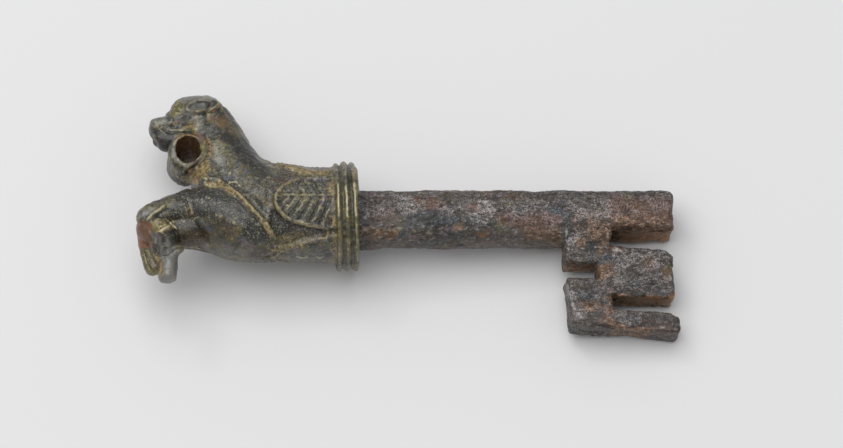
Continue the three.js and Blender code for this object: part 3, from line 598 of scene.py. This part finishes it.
def build_handle():
    piece = merged_copy("handle", "bronze_handle")
    remeshed(piece, 0.29, 6)
    softened(piece, CASTING, NECK_CREASE, 7.0, 175)
    local, normals = points_of(piece, CASTING)
    flanks = both_flanks(local, normals, CASTING)
    shift = wander(local)
    calyx, rims, vein_highlights = carve_calyx(local)
    lift = calyx + pushed(folded(local, normals, CASTING) + 0.6 * shift, PUSHES)
    for pixels, facing, share in flanks:
        lift += carve_hound(pixels + 0.6 * shift) * share * smoothstep(facing, 0.05, 0.3)
    lift += 0.10 * rough_field(local, 3.2, 11.0) + 0.07 * rough_field(local, 1.1, 37.0, octaves=3)
    moved = local + normals * lift[:, None]
    offset = np.column_stack([local[:, 0] - EYE[0], local[:, 1] - EYE[1] + 0.07 * (EYE_LENGTH / 2 - local[:, 2])])
    hole = np.hypot(*offset.T)
    top = smoothstep(offset[:, 1] / np.maximum(hole, 0.1), 0.2, 0.9)
    widened = 0.42 * bell(hole - EYE_HOLE, 1.1) * top * smoothstep(local[:, 2], 0.5, 3.5)
    inward = (0.3 * bell(hole - EYE_HOLE, 0.7) * (1 - top) - widened) * (np.abs(local[:, 2]) < EYE_LENGTH)
    moved[:, :2] -= (inward / np.maximum(hole, 0.1))[:, None] * offset
    move_points(piece, CASTING, moved)
    # The eye hole's inside is painted as shade, in umber and some brown
    hole = smoothstep(EYE_HOLE + 0.2 - hole, 0, 0.5) * (np.abs(local[:, 2]) < EYE_LENGTH / 2 - 0.3)
    foot = smoothstep(local[:, 0], -6.8, -5.6) * smoothstep(-local[:, 0], 4.8, 5.2)
    soil = np.maximum(zone(flanks, 1.8 * shift, SOIL), 0.55 * rims)
    store(piece, "soil", np.maximum(soil, 0.5 * foot) * (1 - hole))
    store(piece, "brown_and_shade", np.maximum(zone(flanks, 1.8 * shift, BROWN_AND_SHADE), 0.52 * hole))
    store(piece, "umber_shade", np.maximum(zone(flanks, 1.8 * shift, UMBER_SHADE), hole))
    smooth = np.maximum(zone(flanks, 1.8 * shift, SMOOTH), 0.8 * rims)
    store(piece, "smooth", np.maximum(smooth, np.maximum(hole, 2 * vein_highlights)))
    store(piece, "dark_and_shade", zone(flanks, 1.8 * shift, DARK_AND_SHADE) * (1 - hole))
    store(piece, "grey_and_sheen", np.maximum(zone(flanks, 1.8 * shift, GREY_AND_SHEEN), 2 * vein_highlights))
    store(piece, "olive", zone(flanks, 1.8 * shift, OLIVE))
    store(piece, "lines", np.maximum(drawn_lines(flanks, 0.6 * shift, PALE_AND_HIGHLIGHT_LINES), 0.5 * vein_highlights))
    store(piece, "relief", relief_of(piece, 12, 0.12))
    store(piece, "form", relief_of(piece, 60, 0.6))
    return piece


# The bar's section, a rounded square: half height, half thickness and how square it is
BAR_HALVES = (6.2, 5.95)
BAR_SQUARENESS = 2.5

# The bar's long edges as angles about its axis, and how far they stand out
BAR_EDGES = (45, 135, -45, -135)
EDGE_LIFT = 0.3

# Colour zones of the iron as seen in the photograph, in its pixels
RUST = [
    ([(588, 226), (604, 225), (612, 242), (600, 246), (588, 240)], 2.5, 1.1),
    ([(606, 217), (636, 216), (636, 227), (608, 230)], 2.5, 1.2),
    ([(634, 218), (671, 216), (671, 230), (634, 232)], 2.5, 0.95),
    ([(572, 211), (606, 213), (606, 229), (572, 229)], 3.0, 0.65),
    ([(522, 228), (562, 227), (563, 243), (524, 242)], 3.0, 0.9),
    ([(361, 226), (381, 229), (381, 241), (361, 243)], 2.5, 0.65),
    ([(384, 231), (398, 231), (398, 239), (385, 239)], 2.0, 1.0),
    ([(450, 222), (463, 222), (463, 231), (451, 232)], 2.0, 0.65),
    ([(470, 203), (481, 203), (481, 211), (471, 211)], 2.0, 1.0),
    ([(575, 236), (587, 236), (587, 248), (576, 248)], 2.0, 0.85),
    ([(596, 263), (616, 264), (616, 276), (598, 278)], 2.0, 1.35),
    ([(584, 300), (597, 300), (597, 311), (584, 311)], 1.8, 1.2),
    ([(631, 327), (646, 327), (646, 338), (631, 338)], 2.0, 1.3),
    ([(644, 256), (657, 256), (657, 270), (645, 270)], 2.0, 0.8),
    ([(661, 272), (669, 272), (669, 284), (662, 284)], 1.5, 0.8),
    ([(612, 296), (670, 296), (672, 308), (614, 308)], 1.8, 1.3),
    ([(602, 230), (674, 231), (674, 246), (604, 246)], 1.8, 1.2),
    ([(562, 262), (598, 264), (598, 276), (564, 276)], 1.6, 1.3),
    ([(606, 290), (614, 290), (622, 312), (608, 316)], 2.5, 0.8),
    ([(608, 318), (632, 324), (634, 338), (612, 335)], 2.5, 0.8),
    ([(650, 320), (680, 322), (680, 338), (652, 336)], 3.0, 0.5),
    ([(640, 329), (650, 329), (650, 334), (640, 334)], 1.5, 1.5),
    ([(586, 303), (594, 302), (595, 308), (587, 309)], 1.5, 1.6),
    ([(599, 266), (612, 266), (612, 275), (600, 275)], 1.8, 1.5),
    ([(591, 247), (600, 244), (606, 252), (598, 258)], 2.0, 0.8),
    ([(556, 240), (564, 240), (566, 262), (560, 262)], 1.5, 0.7),
]
RED = [
    ([(424, 199), (443, 199), (443, 211), (425, 211)], 2.5, 0.9),
    ([(495, 212), (556, 211), (566, 222), (540, 230), (500, 226)], 3.0, 0.85),
    ([(636, 317), (679, 317), (679, 339), (640, 337)], 4.0, 0.8),
    ([(370, 206), (396, 208), (396, 222), (372, 224)], 3.0, 0.5),
    ([(600, 198), (652, 198), (652, 212), (600, 212)], 4.0, 0.6),
    ([(606, 198), (678, 198), (678, 232), (606, 230)], 4.0, 1.0),
    ([(598, 300), (614, 304), (612, 318), (598, 318)], 2.5, 0.7),
    ([(616, 248), (630, 248), (630, 258), (616, 258)], 2.5, 0.5),
]
# Pale grey corrosion, where the painted glints also gather
PALE_AND_GLINT = [
    ([(364, 205), (384, 204), (392, 214), (384, 221), (366, 219)], 3.0, 0.8),
    ([(392, 196), (406, 196), (425, 202), (425, 212), (408, 213), (394, 206)], 3.0, 1.0),
    ([(438, 205), (459, 205), (458, 216), (440, 215)], 3.0, 0.8),
    ([(474, 198), (484, 199), (497, 208), (501, 216), (487, 220), (478, 211)], 2.5, 1.2),
    ([(466, 218), (486, 216), (488, 228), (468, 228)], 2.5, 0.7),
    ([(498, 204), (552, 200), (552, 218), (498, 217)], 4.0, 0.5),
    ([(570, 198), (612, 198), (612, 220), (572, 220)], 3.0, 0.9),
    ([(646, 194), (672, 194), (672, 211), (648, 211)], 3.0, 0.3),
    ([(612, 247), (672, 250), (672, 292), (612, 288)], 3.0, 0.6),
    ([(565, 230), (577, 230), (578, 254), (566, 256)], 1.5, 1.1),
    ([(565, 284), (574, 286), (590, 318), (580, 320), (566, 304)], 1.5, 0.7),
    ([(614, 311), (640, 312), (640, 322), (616, 322)], 2.5, 0.5),
]
# Dark bluish corrosion patches, and painted shade, such as the collar's shadow on the bar and in the bit's slots
SHADE = [
    ([(612, 312), (680, 314), (682, 342), (612, 340)], 3.0, 0.85),
    ([(404, 214), (420, 210), (444, 212), (446, 222), (430, 228), (404, 228)], 3.0, 1.1),
    ([(462, 216), (486, 214), (500, 219), (498, 232), (466, 230)], 3.0, 0.9),
    ([(444, 211), (460, 212), (466, 222), (446, 222)], 3.0, 0.8),
    ([(588, 238), (600, 242), (604, 256), (588, 261)], 2.5, 1.4),
    ([(582, 312), (606, 306), (606, 318), (592, 322)], 3.0, 0.8),
    ([(610, 320), (650, 322), (650, 332), (612, 332)], 3.0, 0.5),
    ([(432, 224), (520, 228), (524, 242), (432, 240)], 3.0, 0.45),
    ([(524, 189.5), (560, 189.5), (560, 195), (526, 195)], 2.0, 0.9),
    ([(560, 216), (572, 216), (572, 228), (562, 228)], 2.0, 0.8),
    ([(583, 240), (598, 245), (598, 261), (580, 261)], 2.5, 0.9),
    ([(578, 286), (604, 288), (606, 302), (590, 300), (580, 296)], 2.5, 0.6),
    ([(359, 188), (367, 188), (367, 250), (359, 250)], 1.5, 0.8),
    ([(566, 306), (576, 320), (572, 332), (566, 330)], 2.0, 0.5),
    ([(652, 262), (662, 262), (662, 288), (640, 288)], 3.0, 0.6),
    ([(490, 192), (520, 191), (520, 200), (492, 202)], 2.5, 0.5),
]
CALM = [
    ([(360, 216), (440, 214), (470, 226), (520, 224), (564, 226), (564, 250), (360, 252)], 3.0, 1.0),
    ([(608, 314), (682, 314), (682, 342), (608, 342)], 3.0, 0.6),
    ([(604, 231), (675, 231), (675, 246), (604, 246)], 2.0, 1.2),
    ([(612, 297), (676, 298), (676, 308), (612, 308)], 1.5, 1.2),
    ([(562, 265), (600, 265), (600, 276), (562, 276)], 1.5, 1.2),
]


# Undersides lightened with painted light in a rusty tone, as if thrown up from the pale table
LIT_UNDERSIDES = [
    ([(618, 231), (676, 231), (676, 246), (622, 245)], 3.0, 1.2),
    ([(618, 296), (676, 297), (676, 308), (624, 308)], 3.0, 1.2),
    ([(563, 264), (592, 265), (592, 275), (564, 274)], 2.5, 0.8),
]
IRON_PUSHES = [
    ([(430, 190), (672, 190)], 3.0, -0.16),
    ([(574, 335), (602, 335)], 3.0, -0.25),
    ([(565, 279), (565, 281)], 3.0, 0.5),
    ([(567, 303), (568, 313)], 5.0, 0.4),
    ([(568, 318), (569, 330)], 5.0, 0.25),
    ([(618, 310), (672, 314)], 3.0, 0.35),
]
# Painted glints drawn as thin bright strands: line, half width, strength
IRON_GLINT_LINES = [
    ([(478, 200.5), (483, 202.5), (487, 206), (490, 210.5), (491.5, 216)], 0.7, 0.9),
    ([(481, 200), (486.5, 202.5), (491.5, 206), (495, 210.5)], 0.7, 0.9),
    ([(476, 203), (481, 206), (485, 211), (487, 217)], 0.6, 0.7),
    ([(466, 212), (470, 213.8), (477, 213.4)], 0.7, 1.0),
    ([(402, 198), (405, 199.8)], 1.0, 0.9),
    ([(410.3, 204.8), (413, 208.6)], 0.8, 1.0),
    ([(414.5, 201.5), (417.6, 205.5)], 0.8, 0.8),
    ([(400.5, 220), (405.5, 216.5)], 1.0, 0.6),
    ([(447.5, 210), (451.5, 212.5), (453.5, 209)], 0.8, 1.0),
    ([(476, 222.6), (480.5, 219.4)], 0.7, 0.7),
    ([(566.4, 229), (566.8, 240), (568.6, 250)], 1.1, 0.8),
    ([(614, 252), (618.5, 248), (621, 252), (619, 259)], 1.3, 0.7),
    ([(567.2, 286), (570, 293), (572, 303), (576, 311), (583, 319)], 1.6, 0.8),
]


def corroded(piece, waves, wave_height, edge_lift):
    local, normals = points_of(piece, KEY)
    flanks = both_flanks(local, normals, KEY)
    shift = wander(local)
    angle = np.degrees(np.arctan2(local[:, 1], local[:, 2]))
    lift = np.zeros(len(local))
    for edge in BAR_EDGES:
        lift += edge_lift * bell((angle - edge + 180) % 360 - 180, 10)
    lift += wave_height * rough_field(local, waves, 5.0, (2.2, 1, 1), 2)
    pits = rough_field(local, 2.6, 23.0, (1.8, 1, 1), 3)
    lift += 0.16 * rough_field(local, 2.2, 3.0, (1.6, 1, 1)) - 0.30 * smoothstep(pits, 0.25, 0.6)
    lift += 0.08 * rough_field(local, 0.9, 51.0, octaves=3)
    lift += pushed(folded(local, normals, KEY), IRON_PUSHES)
    move_points(piece, KEY, local + normals * lift[:, None])
    store(piece, "lines", drawn_lines(flanks, shift, IRON_GLINT_LINES))
    for name, patches in (("rust", RUST), ("red", RED), ("pale_and_glint", PALE_AND_GLINT), ("dark_and_shade", SHADE), ("lit_undersides", LIT_UNDERSIDES),
                          ("calm", CALM)):
        store(piece, name, zone(flanks, 3.0 * shift, patches))
    store(piece, "relief", relief_of(piece, 10, 0.15))
    return piece


def build_shank():
    piece = merged_copy("shank", "iron_bar")
    remeshed(piece, 0.3, 2)
    return corroded(piece, 5.0, 0.5, EDGE_LIFT)


def welded(piece, reach, pull):
    """Draws the edge of the bit in to the bar, so that the weld shows no gap."""
    local, _ = points_of(piece, KEY)
    away = np.hypot(local[:, 1], local[:, 2])
    shares = np.abs(local[:, 1:]) / BAR_HALVES
    size = (shares**BAR_SQUARENESS).sum(1) ** (1 / BAR_SQUARENESS)
    gap = away * (1 - 1 / size)
    local[:, 1:] -= (pull * bell(np.maximum(gap, 0), reach) / away)[:, None] * local[:, 1:]
    move_points(piece, KEY, local)


def build_bit():
    piece = merged_copy("bit", "iron_bit")
    remeshed(piece, 0.24, 8)
    welded(piece, 0.8, 0.7)
    return corroded(piece, 4.0, 0.28, 0.0)


class Nodes:
    """Adds shader nodes to a material and links them."""

    def __init__(self, name):
        self.material = bpy.data.materials.new(name)
        self.material.use_nodes = True
        self.tree = self.material.node_tree
        self.shader = self.tree.nodes["Principled BSDF"]
        self.coords = self.tree.nodes.new("ShaderNodeTexCoord")

    def add(self, kind, inputs=(), **settings):
        node = self.tree.nodes.new(kind)
        for key, value in settings.items():
            setattr(node, key, value)
        for key, value in dict(inputs).items():
            if isinstance(value, bpy.types.NodeSocket):
                self.tree.links.new(value, node.inputs[key])
            else:
                node.inputs[key].default_value = value
        return node

    def noise(self, scale, detail=4.0, roughness=0.6, offset=(0, 0, 0), stretch=1.0):
        moved = self.add("ShaderNodeMapping", {"Vector": self.coords.outputs["Object"], "Location": offset})
        moved.inputs["Scale"].default_value = (1 / stretch, 1, 1)
        inputs = {"Vector": moved.outputs[0], "Scale": scale, "Detail": detail, "Roughness": roughness}
        return self.add("ShaderNodeTexNoise", inputs).outputs["Fac"]

    def specks(self, scale, radius):
        """Small round spots, some of the cells of a Voronoi pattern having one."""
        cells = self.add("ShaderNodeTexVoronoi", {"Vector": self.coords.outputs["Object"], "Scale": scale})
        chosen = self.ramp(self.add("ShaderNodeSeparateColor", {0: cells.outputs["Color"]}).outputs[0], 0.55, 0.6)
        return self.math("MULTIPLY", chosen, self.ramp(cells.outputs["Distance"], radius, 0.4 * radius))

    def creases(self, scale, width, stretch=1.0):
        """Thin wandering lines, where a noise passes through a half."""
        value = self.noise(scale, 2.0, 0.5, (0.4, 0.7, 0.2), stretch)
        return self.ramp(self.math("ABSOLUTE", self.math("SUBTRACT", value, 0.5), 0.0), width, 0.0)

    def attribute(self, name):
        return self.add("ShaderNodeAttribute", attribute_name=name).outputs["Fac"]

    def ramp(self, value, low, high):
        inputs = {"Value": value, "From Min": low, "From Max": high}
        return self.add("ShaderNodeMapRange", inputs, interpolation_type="SMOOTHSTEP").outputs[0]

    def span(self, value, low, high):
        return self.add("ShaderNodeMapRange", {"Value": value, "To Min": low, "To Max": high}).outputs[0]

    def math(self, operation, first, second):
        return self.add("ShaderNodeMath", {0: first, 1: second}, operation=operation).outputs[0]

    def broken(self, share, noise_value, amount):
        """A share whose soft edges are broken up by a noise around a half."""
        offset = self.math("MULTIPLY", self.math("SUBTRACT", noise_value, 0.5), amount)
        return self.ramp(self.math("ADD", share, offset), 0.1, 1.15)

    def mix(self, share, first, second):
        node = self.add("ShaderNodeMix", data_type="RGBA")
        for socket, value in (("Factor", share), ("A", first), ("B", second)):
            wanted = "VALUE" if socket == "Factor" else "RGBA"
            slot = next(s for s in node.inputs if s.name == socket and s.type == wanted and s.enabled)
            if isinstance(value, bpy.types.NodeSocket):
                self.tree.links.new(value, slot)
            else:
                slot.default_value = value
        return next(s for s in node.outputs if s.type == "RGBA")

    def finish(self, color, roughness, bump_height, bump_distance, metallic=0.0):
        bump = self.add("ShaderNodeBump", {"Height": bump_height, "Distance": bump_distance, "Strength": 1.0})
        for key, value in (("Base Color", color), ("Roughness", roughness), ("Normal", bump.outputs[0])):
            self.tree.links.new(value, self.shader.inputs[key])
        self.shader.inputs["Metallic"].default_value = metallic
        return self.material


def colour(red, green, blue):
    """A colour written as it looks on screen, 0 to 255, as the shader's linear values."""
    linear = [((c / 255 + 0.055) / 1.055) ** 2.4 if c > 10 else c / 3295 for c in (red, green, blue)]
    return (*linear, 1.0)


def bronze_material():
    n = Nodes("patinated_bronze")
    relief = n.attribute("relief")
    form = n.attribute("form")
    large = n.noise(190, 5, 0.65)
    middle = n.noise(620, 5, 0.7, (0.6, 0.2, 0.1))
    fine = n.noise(1500, 3, 0.65, (0.3, 0.1, 0.2))
    tiny = n.noise(3400, 2, 0.6, (0.9, 0.4, 0.7))
    edges = n.math("ADD", n.math("MULTIPLY", middle, 0.5), n.math("MULTIPLY", fine, 0.5))
    rough = n.span(n.attribute("smooth"), 1.0, 0.3)

    def tint(base, name, wander, strength, shade):
        return n.mix(n.math("MULTIPLY", n.broken(n.attribute(name), edges, wander), strength), base, shade)

    def fleck(base, value, low, high, strength, shade):
        share = n.math("MULTIPLY", n.ramp(value, low, high), n.math("MULTIPLY", rough, strength))
        return n.mix(share, base, shade)

    base = n.mix(n.ramp(large, 0.42, 0.58), colour(46, 47, 43), colour(80, 78, 67))
    base = n.mix(n.ramp(n.noise(420, 4, 0.6, (0.5, 0.2, 0.9)), 0.48, 0.62), base, colour(90, 81, 44))
    base = n.mix(n.ramp(n.noise(380, 4, 0.6, (0.1, 0.8, 0.3)), 0.54, 0.66), base, colour(56, 66, 74))
    base = n.mix(n.ramp(n.noise(300, 3, 0.6, (0.7, 0.3, 0.6)), 0.55, 0.68), base, colour(96, 84, 92))
    # grey zones: grey patina with painted highlights and painted reflection of the table
    base = tint(base, "grey_and_sheen", 1.4, 0.9, colour(116, 116, 112))
    base = tint(base, "olive", 1.6, 0.85, colour(107, 98, 48))
    # umber zones: painted shade in hollows and under parts
    base = tint(base, "umber_shade", 1.6, 0.9, colour(52, 37, 14))
    # brown zones: reddish patina, and painted shade below the ear and in the eye hole
    brown_and_shade = n.mix(n.ramp(large, 0.4, 0.6), colour(94, 64, 44), colour(124, 79, 46))
    base = tint(base, "brown_and_shade", 1.4, 0.95, brown_and_shade)
    # dark zones: dark patina and painted shade
    base = tint(base, "dark_and_shade", 1.8, 0.9, colour(25, 26, 24))
    soil = n.mix(n.ramp(edges, 0.40, 0.64), colour(106, 86, 47), colour(170, 147, 98))
    base = tint(base, "soil", 2.2, 0.85, soil)
    # Painted shade in crevices: concave spots darkened, less where soil lies
    clear = n.span(n.attribute("soil"), 1.0, 0.35)
    base = n.mix(n.math("MULTIPLY", n.ramp(relief, -0.15, -0.8), clear), base, colour(32, 31, 25))
    # Raised edges and ridges lightened: partly wear, partly a painted highlight
    wear_and_highlight = n.math("ADD", relief, n.math("MULTIPLY", form, 0.35))
    wear_and_highlight = n.math("ADD", wear_and_highlight, n.math("MULTIPLY", n.math("SUBTRACT", edges, 0.5), 4.0))
    sheltered = n.span(n.attribute("smooth"), 0.65, 0.16)
    base = n.mix(n.math("MULTIPLY", n.ramp(wear_and_highlight, 0.40, 1.0), sheltered), base, colour(156, 144, 102))
    base = fleck(base, fine, 0.48, 0.34, 0.8, colour(32, 31, 27))
    base = fleck(base, fine, 0.54, 0.68, 0.5, colour(150, 146, 126))
    base = fleck(base, tiny, 0.56, 0.68, 0.45, colour(168, 164, 146))
    base = fleck(base, tiny, 0.44, 0.34, 0.4, colour(28, 28, 25))
    spots = n.math("MULTIPLY", n.specks(400, 0.19), n.span(n.attribute("smooth"), 0.75, 0.25))
    base = n.mix(spots, base, colour(182, 172, 126))
    # Pale worn edges and painted highlights along the drawn lines and the veins' sides
    base = n.mix(n.math("MULTIPLY", n.broken(n.attribute("lines"), edges, 1.4), 0.8), base, colour(188, 180, 146))
    bumps = n.math("ADD", n.math("MULTIPLY", fine, 0.6), n.math("MULTIPLY", tiny, 0.2))
    bumps = n.math("ADD", bumps, n.math("MULTIPLY", middle, 0.5))
    n.shader.inputs["Coat Weight"].default_value = 0.25
    n.shader.inputs["Coat Roughness"].default_value = 0.2
    return n.finish(base, n.span(middle, 0.26, 0.56), n.math("MULTIPLY", bumps, rough), 0.00026, 0.25)


def iron_material(name, shift):
    n = Nodes(name)
    relief = n.attribute("relief")
    pale_and_glint = n.span(n.attribute("pale_and_glint"), 0.34, 1.0)
    rough = n.span(n.attribute("calm"), 1.0, 0.5)
    large = n.noise(150, 4, 0.6, shift, 2.5)
    middle = n.noise(430, 5, 0.7, (shift[2], shift[0], shift[1]), 1.6)
    fine = n.noise(1300, 4, 0.75, shift, 1.5)
    tiny = n.noise(3300, 2, 0.6, shift)
    edges = n.math("ADD", n.math("MULTIPLY", middle, 0.5), n.math("MULTIPLY", fine, 0.5))

    def tint(base, name, wander, strength, shade):
        return n.mix(n.math("MULTIPLY", n.broken(n.attribute(name), edges, wander), strength), base, shade)

    def marks(base, share, strength, shade):
        return n.mix(n.math("MULTIPLY", n.math("MULTIPLY", share, strength), rough), base, shade)

    base = n.mix(n.ramp(large, 0.42, 0.58), colour(52, 45, 39), colour(82, 71, 61))
    base = n.mix(n.ramp(middle, 0.50, 0.66), base, colour(70, 71, 68))
    for size, shade in ((330, (106, 74, 48)), (290, (100, 82, 88)), (250, (92, 88, 56)), (270, (46, 58, 68))):
        patches = n.noise(size, 4, 0.65, (0.003 * size, shift[1], shift[0]), 1.6)
        base = n.mix(n.ramp(patches, 0.54, 0.68), base, colour(*shade))
    base = tint(base, "red", 2.2, 0.75, colour(106, 66, 50))
    # dark zones: dark corrosion and painted shade
    base = tint(base, "dark_and_shade", 2.2, 0.9, colour(38, 42, 44))
    rust = n.mix(n.ramp(edges, 0.42, 0.60), colour(72, 52, 33), colour(140, 98, 54))
    base = tint(base, "rust", 2.6, 0.85, rust)
    base = tint(base, "pale_and_glint", 2.4, 0.3, colour(102, 97, 94))
    # Painted shade in pits and crevices, and a painted highlight on raised spots
    base = n.mix(n.ramp(relief, -0.15, -0.9), base, colour(34, 28, 24))
    base = n.mix(n.math("MULTIPLY", n.ramp(relief, 0.3, 0.9), 0.3), base, colour(120, 110, 102))
    # Painted light on the undersides, as if thrown up from the pale table
    base = tint(base, "lit_undersides", 2.2, 0.9, colour(156, 118, 84))
    base = marks(base, n.ramp(fine, 0.46, 0.32), 0.8, colour(34, 29, 26))
    # Painted glints: specks, crumpled lines and streaks where the pale zones lie, and the drawn strands
    glint = n.math("MULTIPLY", n.ramp(tiny, 0.52, 0.58), n.ramp(edges, 0.45, 0.54))
    base = marks(base, n.math("MULTIPLY", glint, pale_and_glint), 0.75, colour(170, 164, 163))
    creases = n.math("MULTIPLY", n.creases(1300, 0.03), n.ramp(middle, 0.44, 0.56))
    base = marks(base, n.math("MULTIPLY", creases, pale_and_glint), 0.9, colour(172, 167, 168))
    base = marks(base, n.math("MULTIPLY", n.creases(520, 0.03, 4.0), pale_and_glint), 0.6, colour(132, 125, 122))
    base = marks(base, n.creases(380, 0.035, 3.5), 0.35, colour(38, 33, 30))
    base = marks(base, n.ramp(tiny, 0.48, 0.40), 0.85, colour(31, 28, 27))
    base = n.mix(n.math("MULTIPLY", n.broken(n.attribute("lines"), fine, 4.0), 0.75), base, colour(176, 171, 170))
    bumps = n.math("ADD", n.math("MULTIPLY", fine, 0.7), n.math("MULTIPLY", tiny, 0.3))
    return n.finish(base, n.span(middle, 0.34, 0.62), n.math("MULTIPLY", bumps, rough), 0.00026, 0.15)


def lead_material():
    n = Nodes("run_in_lead")
    patches = n.noise(300, 4)
    base = n.mix(patches, colour(92, 94, 98), colour(120, 121, 124))
    return n.finish(base, patches, n.noise(1800, 3), 0.00005, 0.6)


def add_piece(piece, node, material):
    piece.data.materials.append(material)
    make_active(piece)
    bpy.ops.object.shade_smooth()
    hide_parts(node)
    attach(piece, "root")


add_piece(build_handle(), "handle", bronze_material())
add_piece(build_shank(), "shank", iron_material("corroded_bar", (0.1, 0.4, 0.2)))
add_piece(build_bit(), "bit", iron_material("corroded_bit", (0.7, 0.2, 0.5)))
lead = frame["nodes"]["lead_bedding"]
lead.data.materials.clear()
lead.data.materials.append(lead_material())


def set_camera():
    data = bpy.data.cameras.new("photo_camera")
    data.sensor_width = SENSOR
    data.lens = SENSOR * CAMERA_DISTANCE / (PHOTO_SIZE[0] * PIXEL)
    camera = bpy.data.objects.new("photo_camera", data)
    place = Matrix((camera_right, camera_up, camera_back)).transposed().to_4x4()
    place.translation = camera_place
    camera.matrix_world = place
    bpy.context.scene.collection.objects.link(camera)
    bpy.context.scene.camera = camera


def area_light(name, place, target, size, power):
    data = bpy.data.lights.new(name, "AREA")
    data.shape = "DISK"
    data.size = size
    data.energy = power
    lamp = bpy.data.objects.new(name, data)
    lamp.location = place
    direction = Vector(target) - Vector(place)
    lamp.rotation_euler = direction.to_track_quat("-Z", "Y").to_euler()
    bpy.context.scene.collection.objects.link(lamp)


def set_stage():
    bpy.ops.mesh.primitive_plane_add(size=4)
    floor = bpy.context.object
    floor.name = "table_top"
    n = Nodes("pale_table")
    n.shader.inputs["Base Color"].default_value = colour(222, 222, 223)
    n.shader.inputs["Roughness"].default_value = 0.9
    floor.data.materials.append(n.material)
    world = bpy.data.worlds.new("studio")
    world.use_nodes = True
    world.node_tree.nodes["Background"].inputs["Color"].default_value = (1.0, 1.0, 1.0, 1)
    world.node_tree.nodes["Background"].inputs["Strength"].default_value = 0.5
    bpy.context.scene.world = world
    area_light("overhead_softbox", (-0.2, 0.13, 1.0), (0, 0, 0), 1.1, 7.45)
    area_light("key_light", (-0.4, 0.55, 0.9), (0, 0, 0), 0.2, 0.5)


deselect_all()
set_stage()
set_camera()
bpy.context.scene.view_settings.view_transform = "Standard"
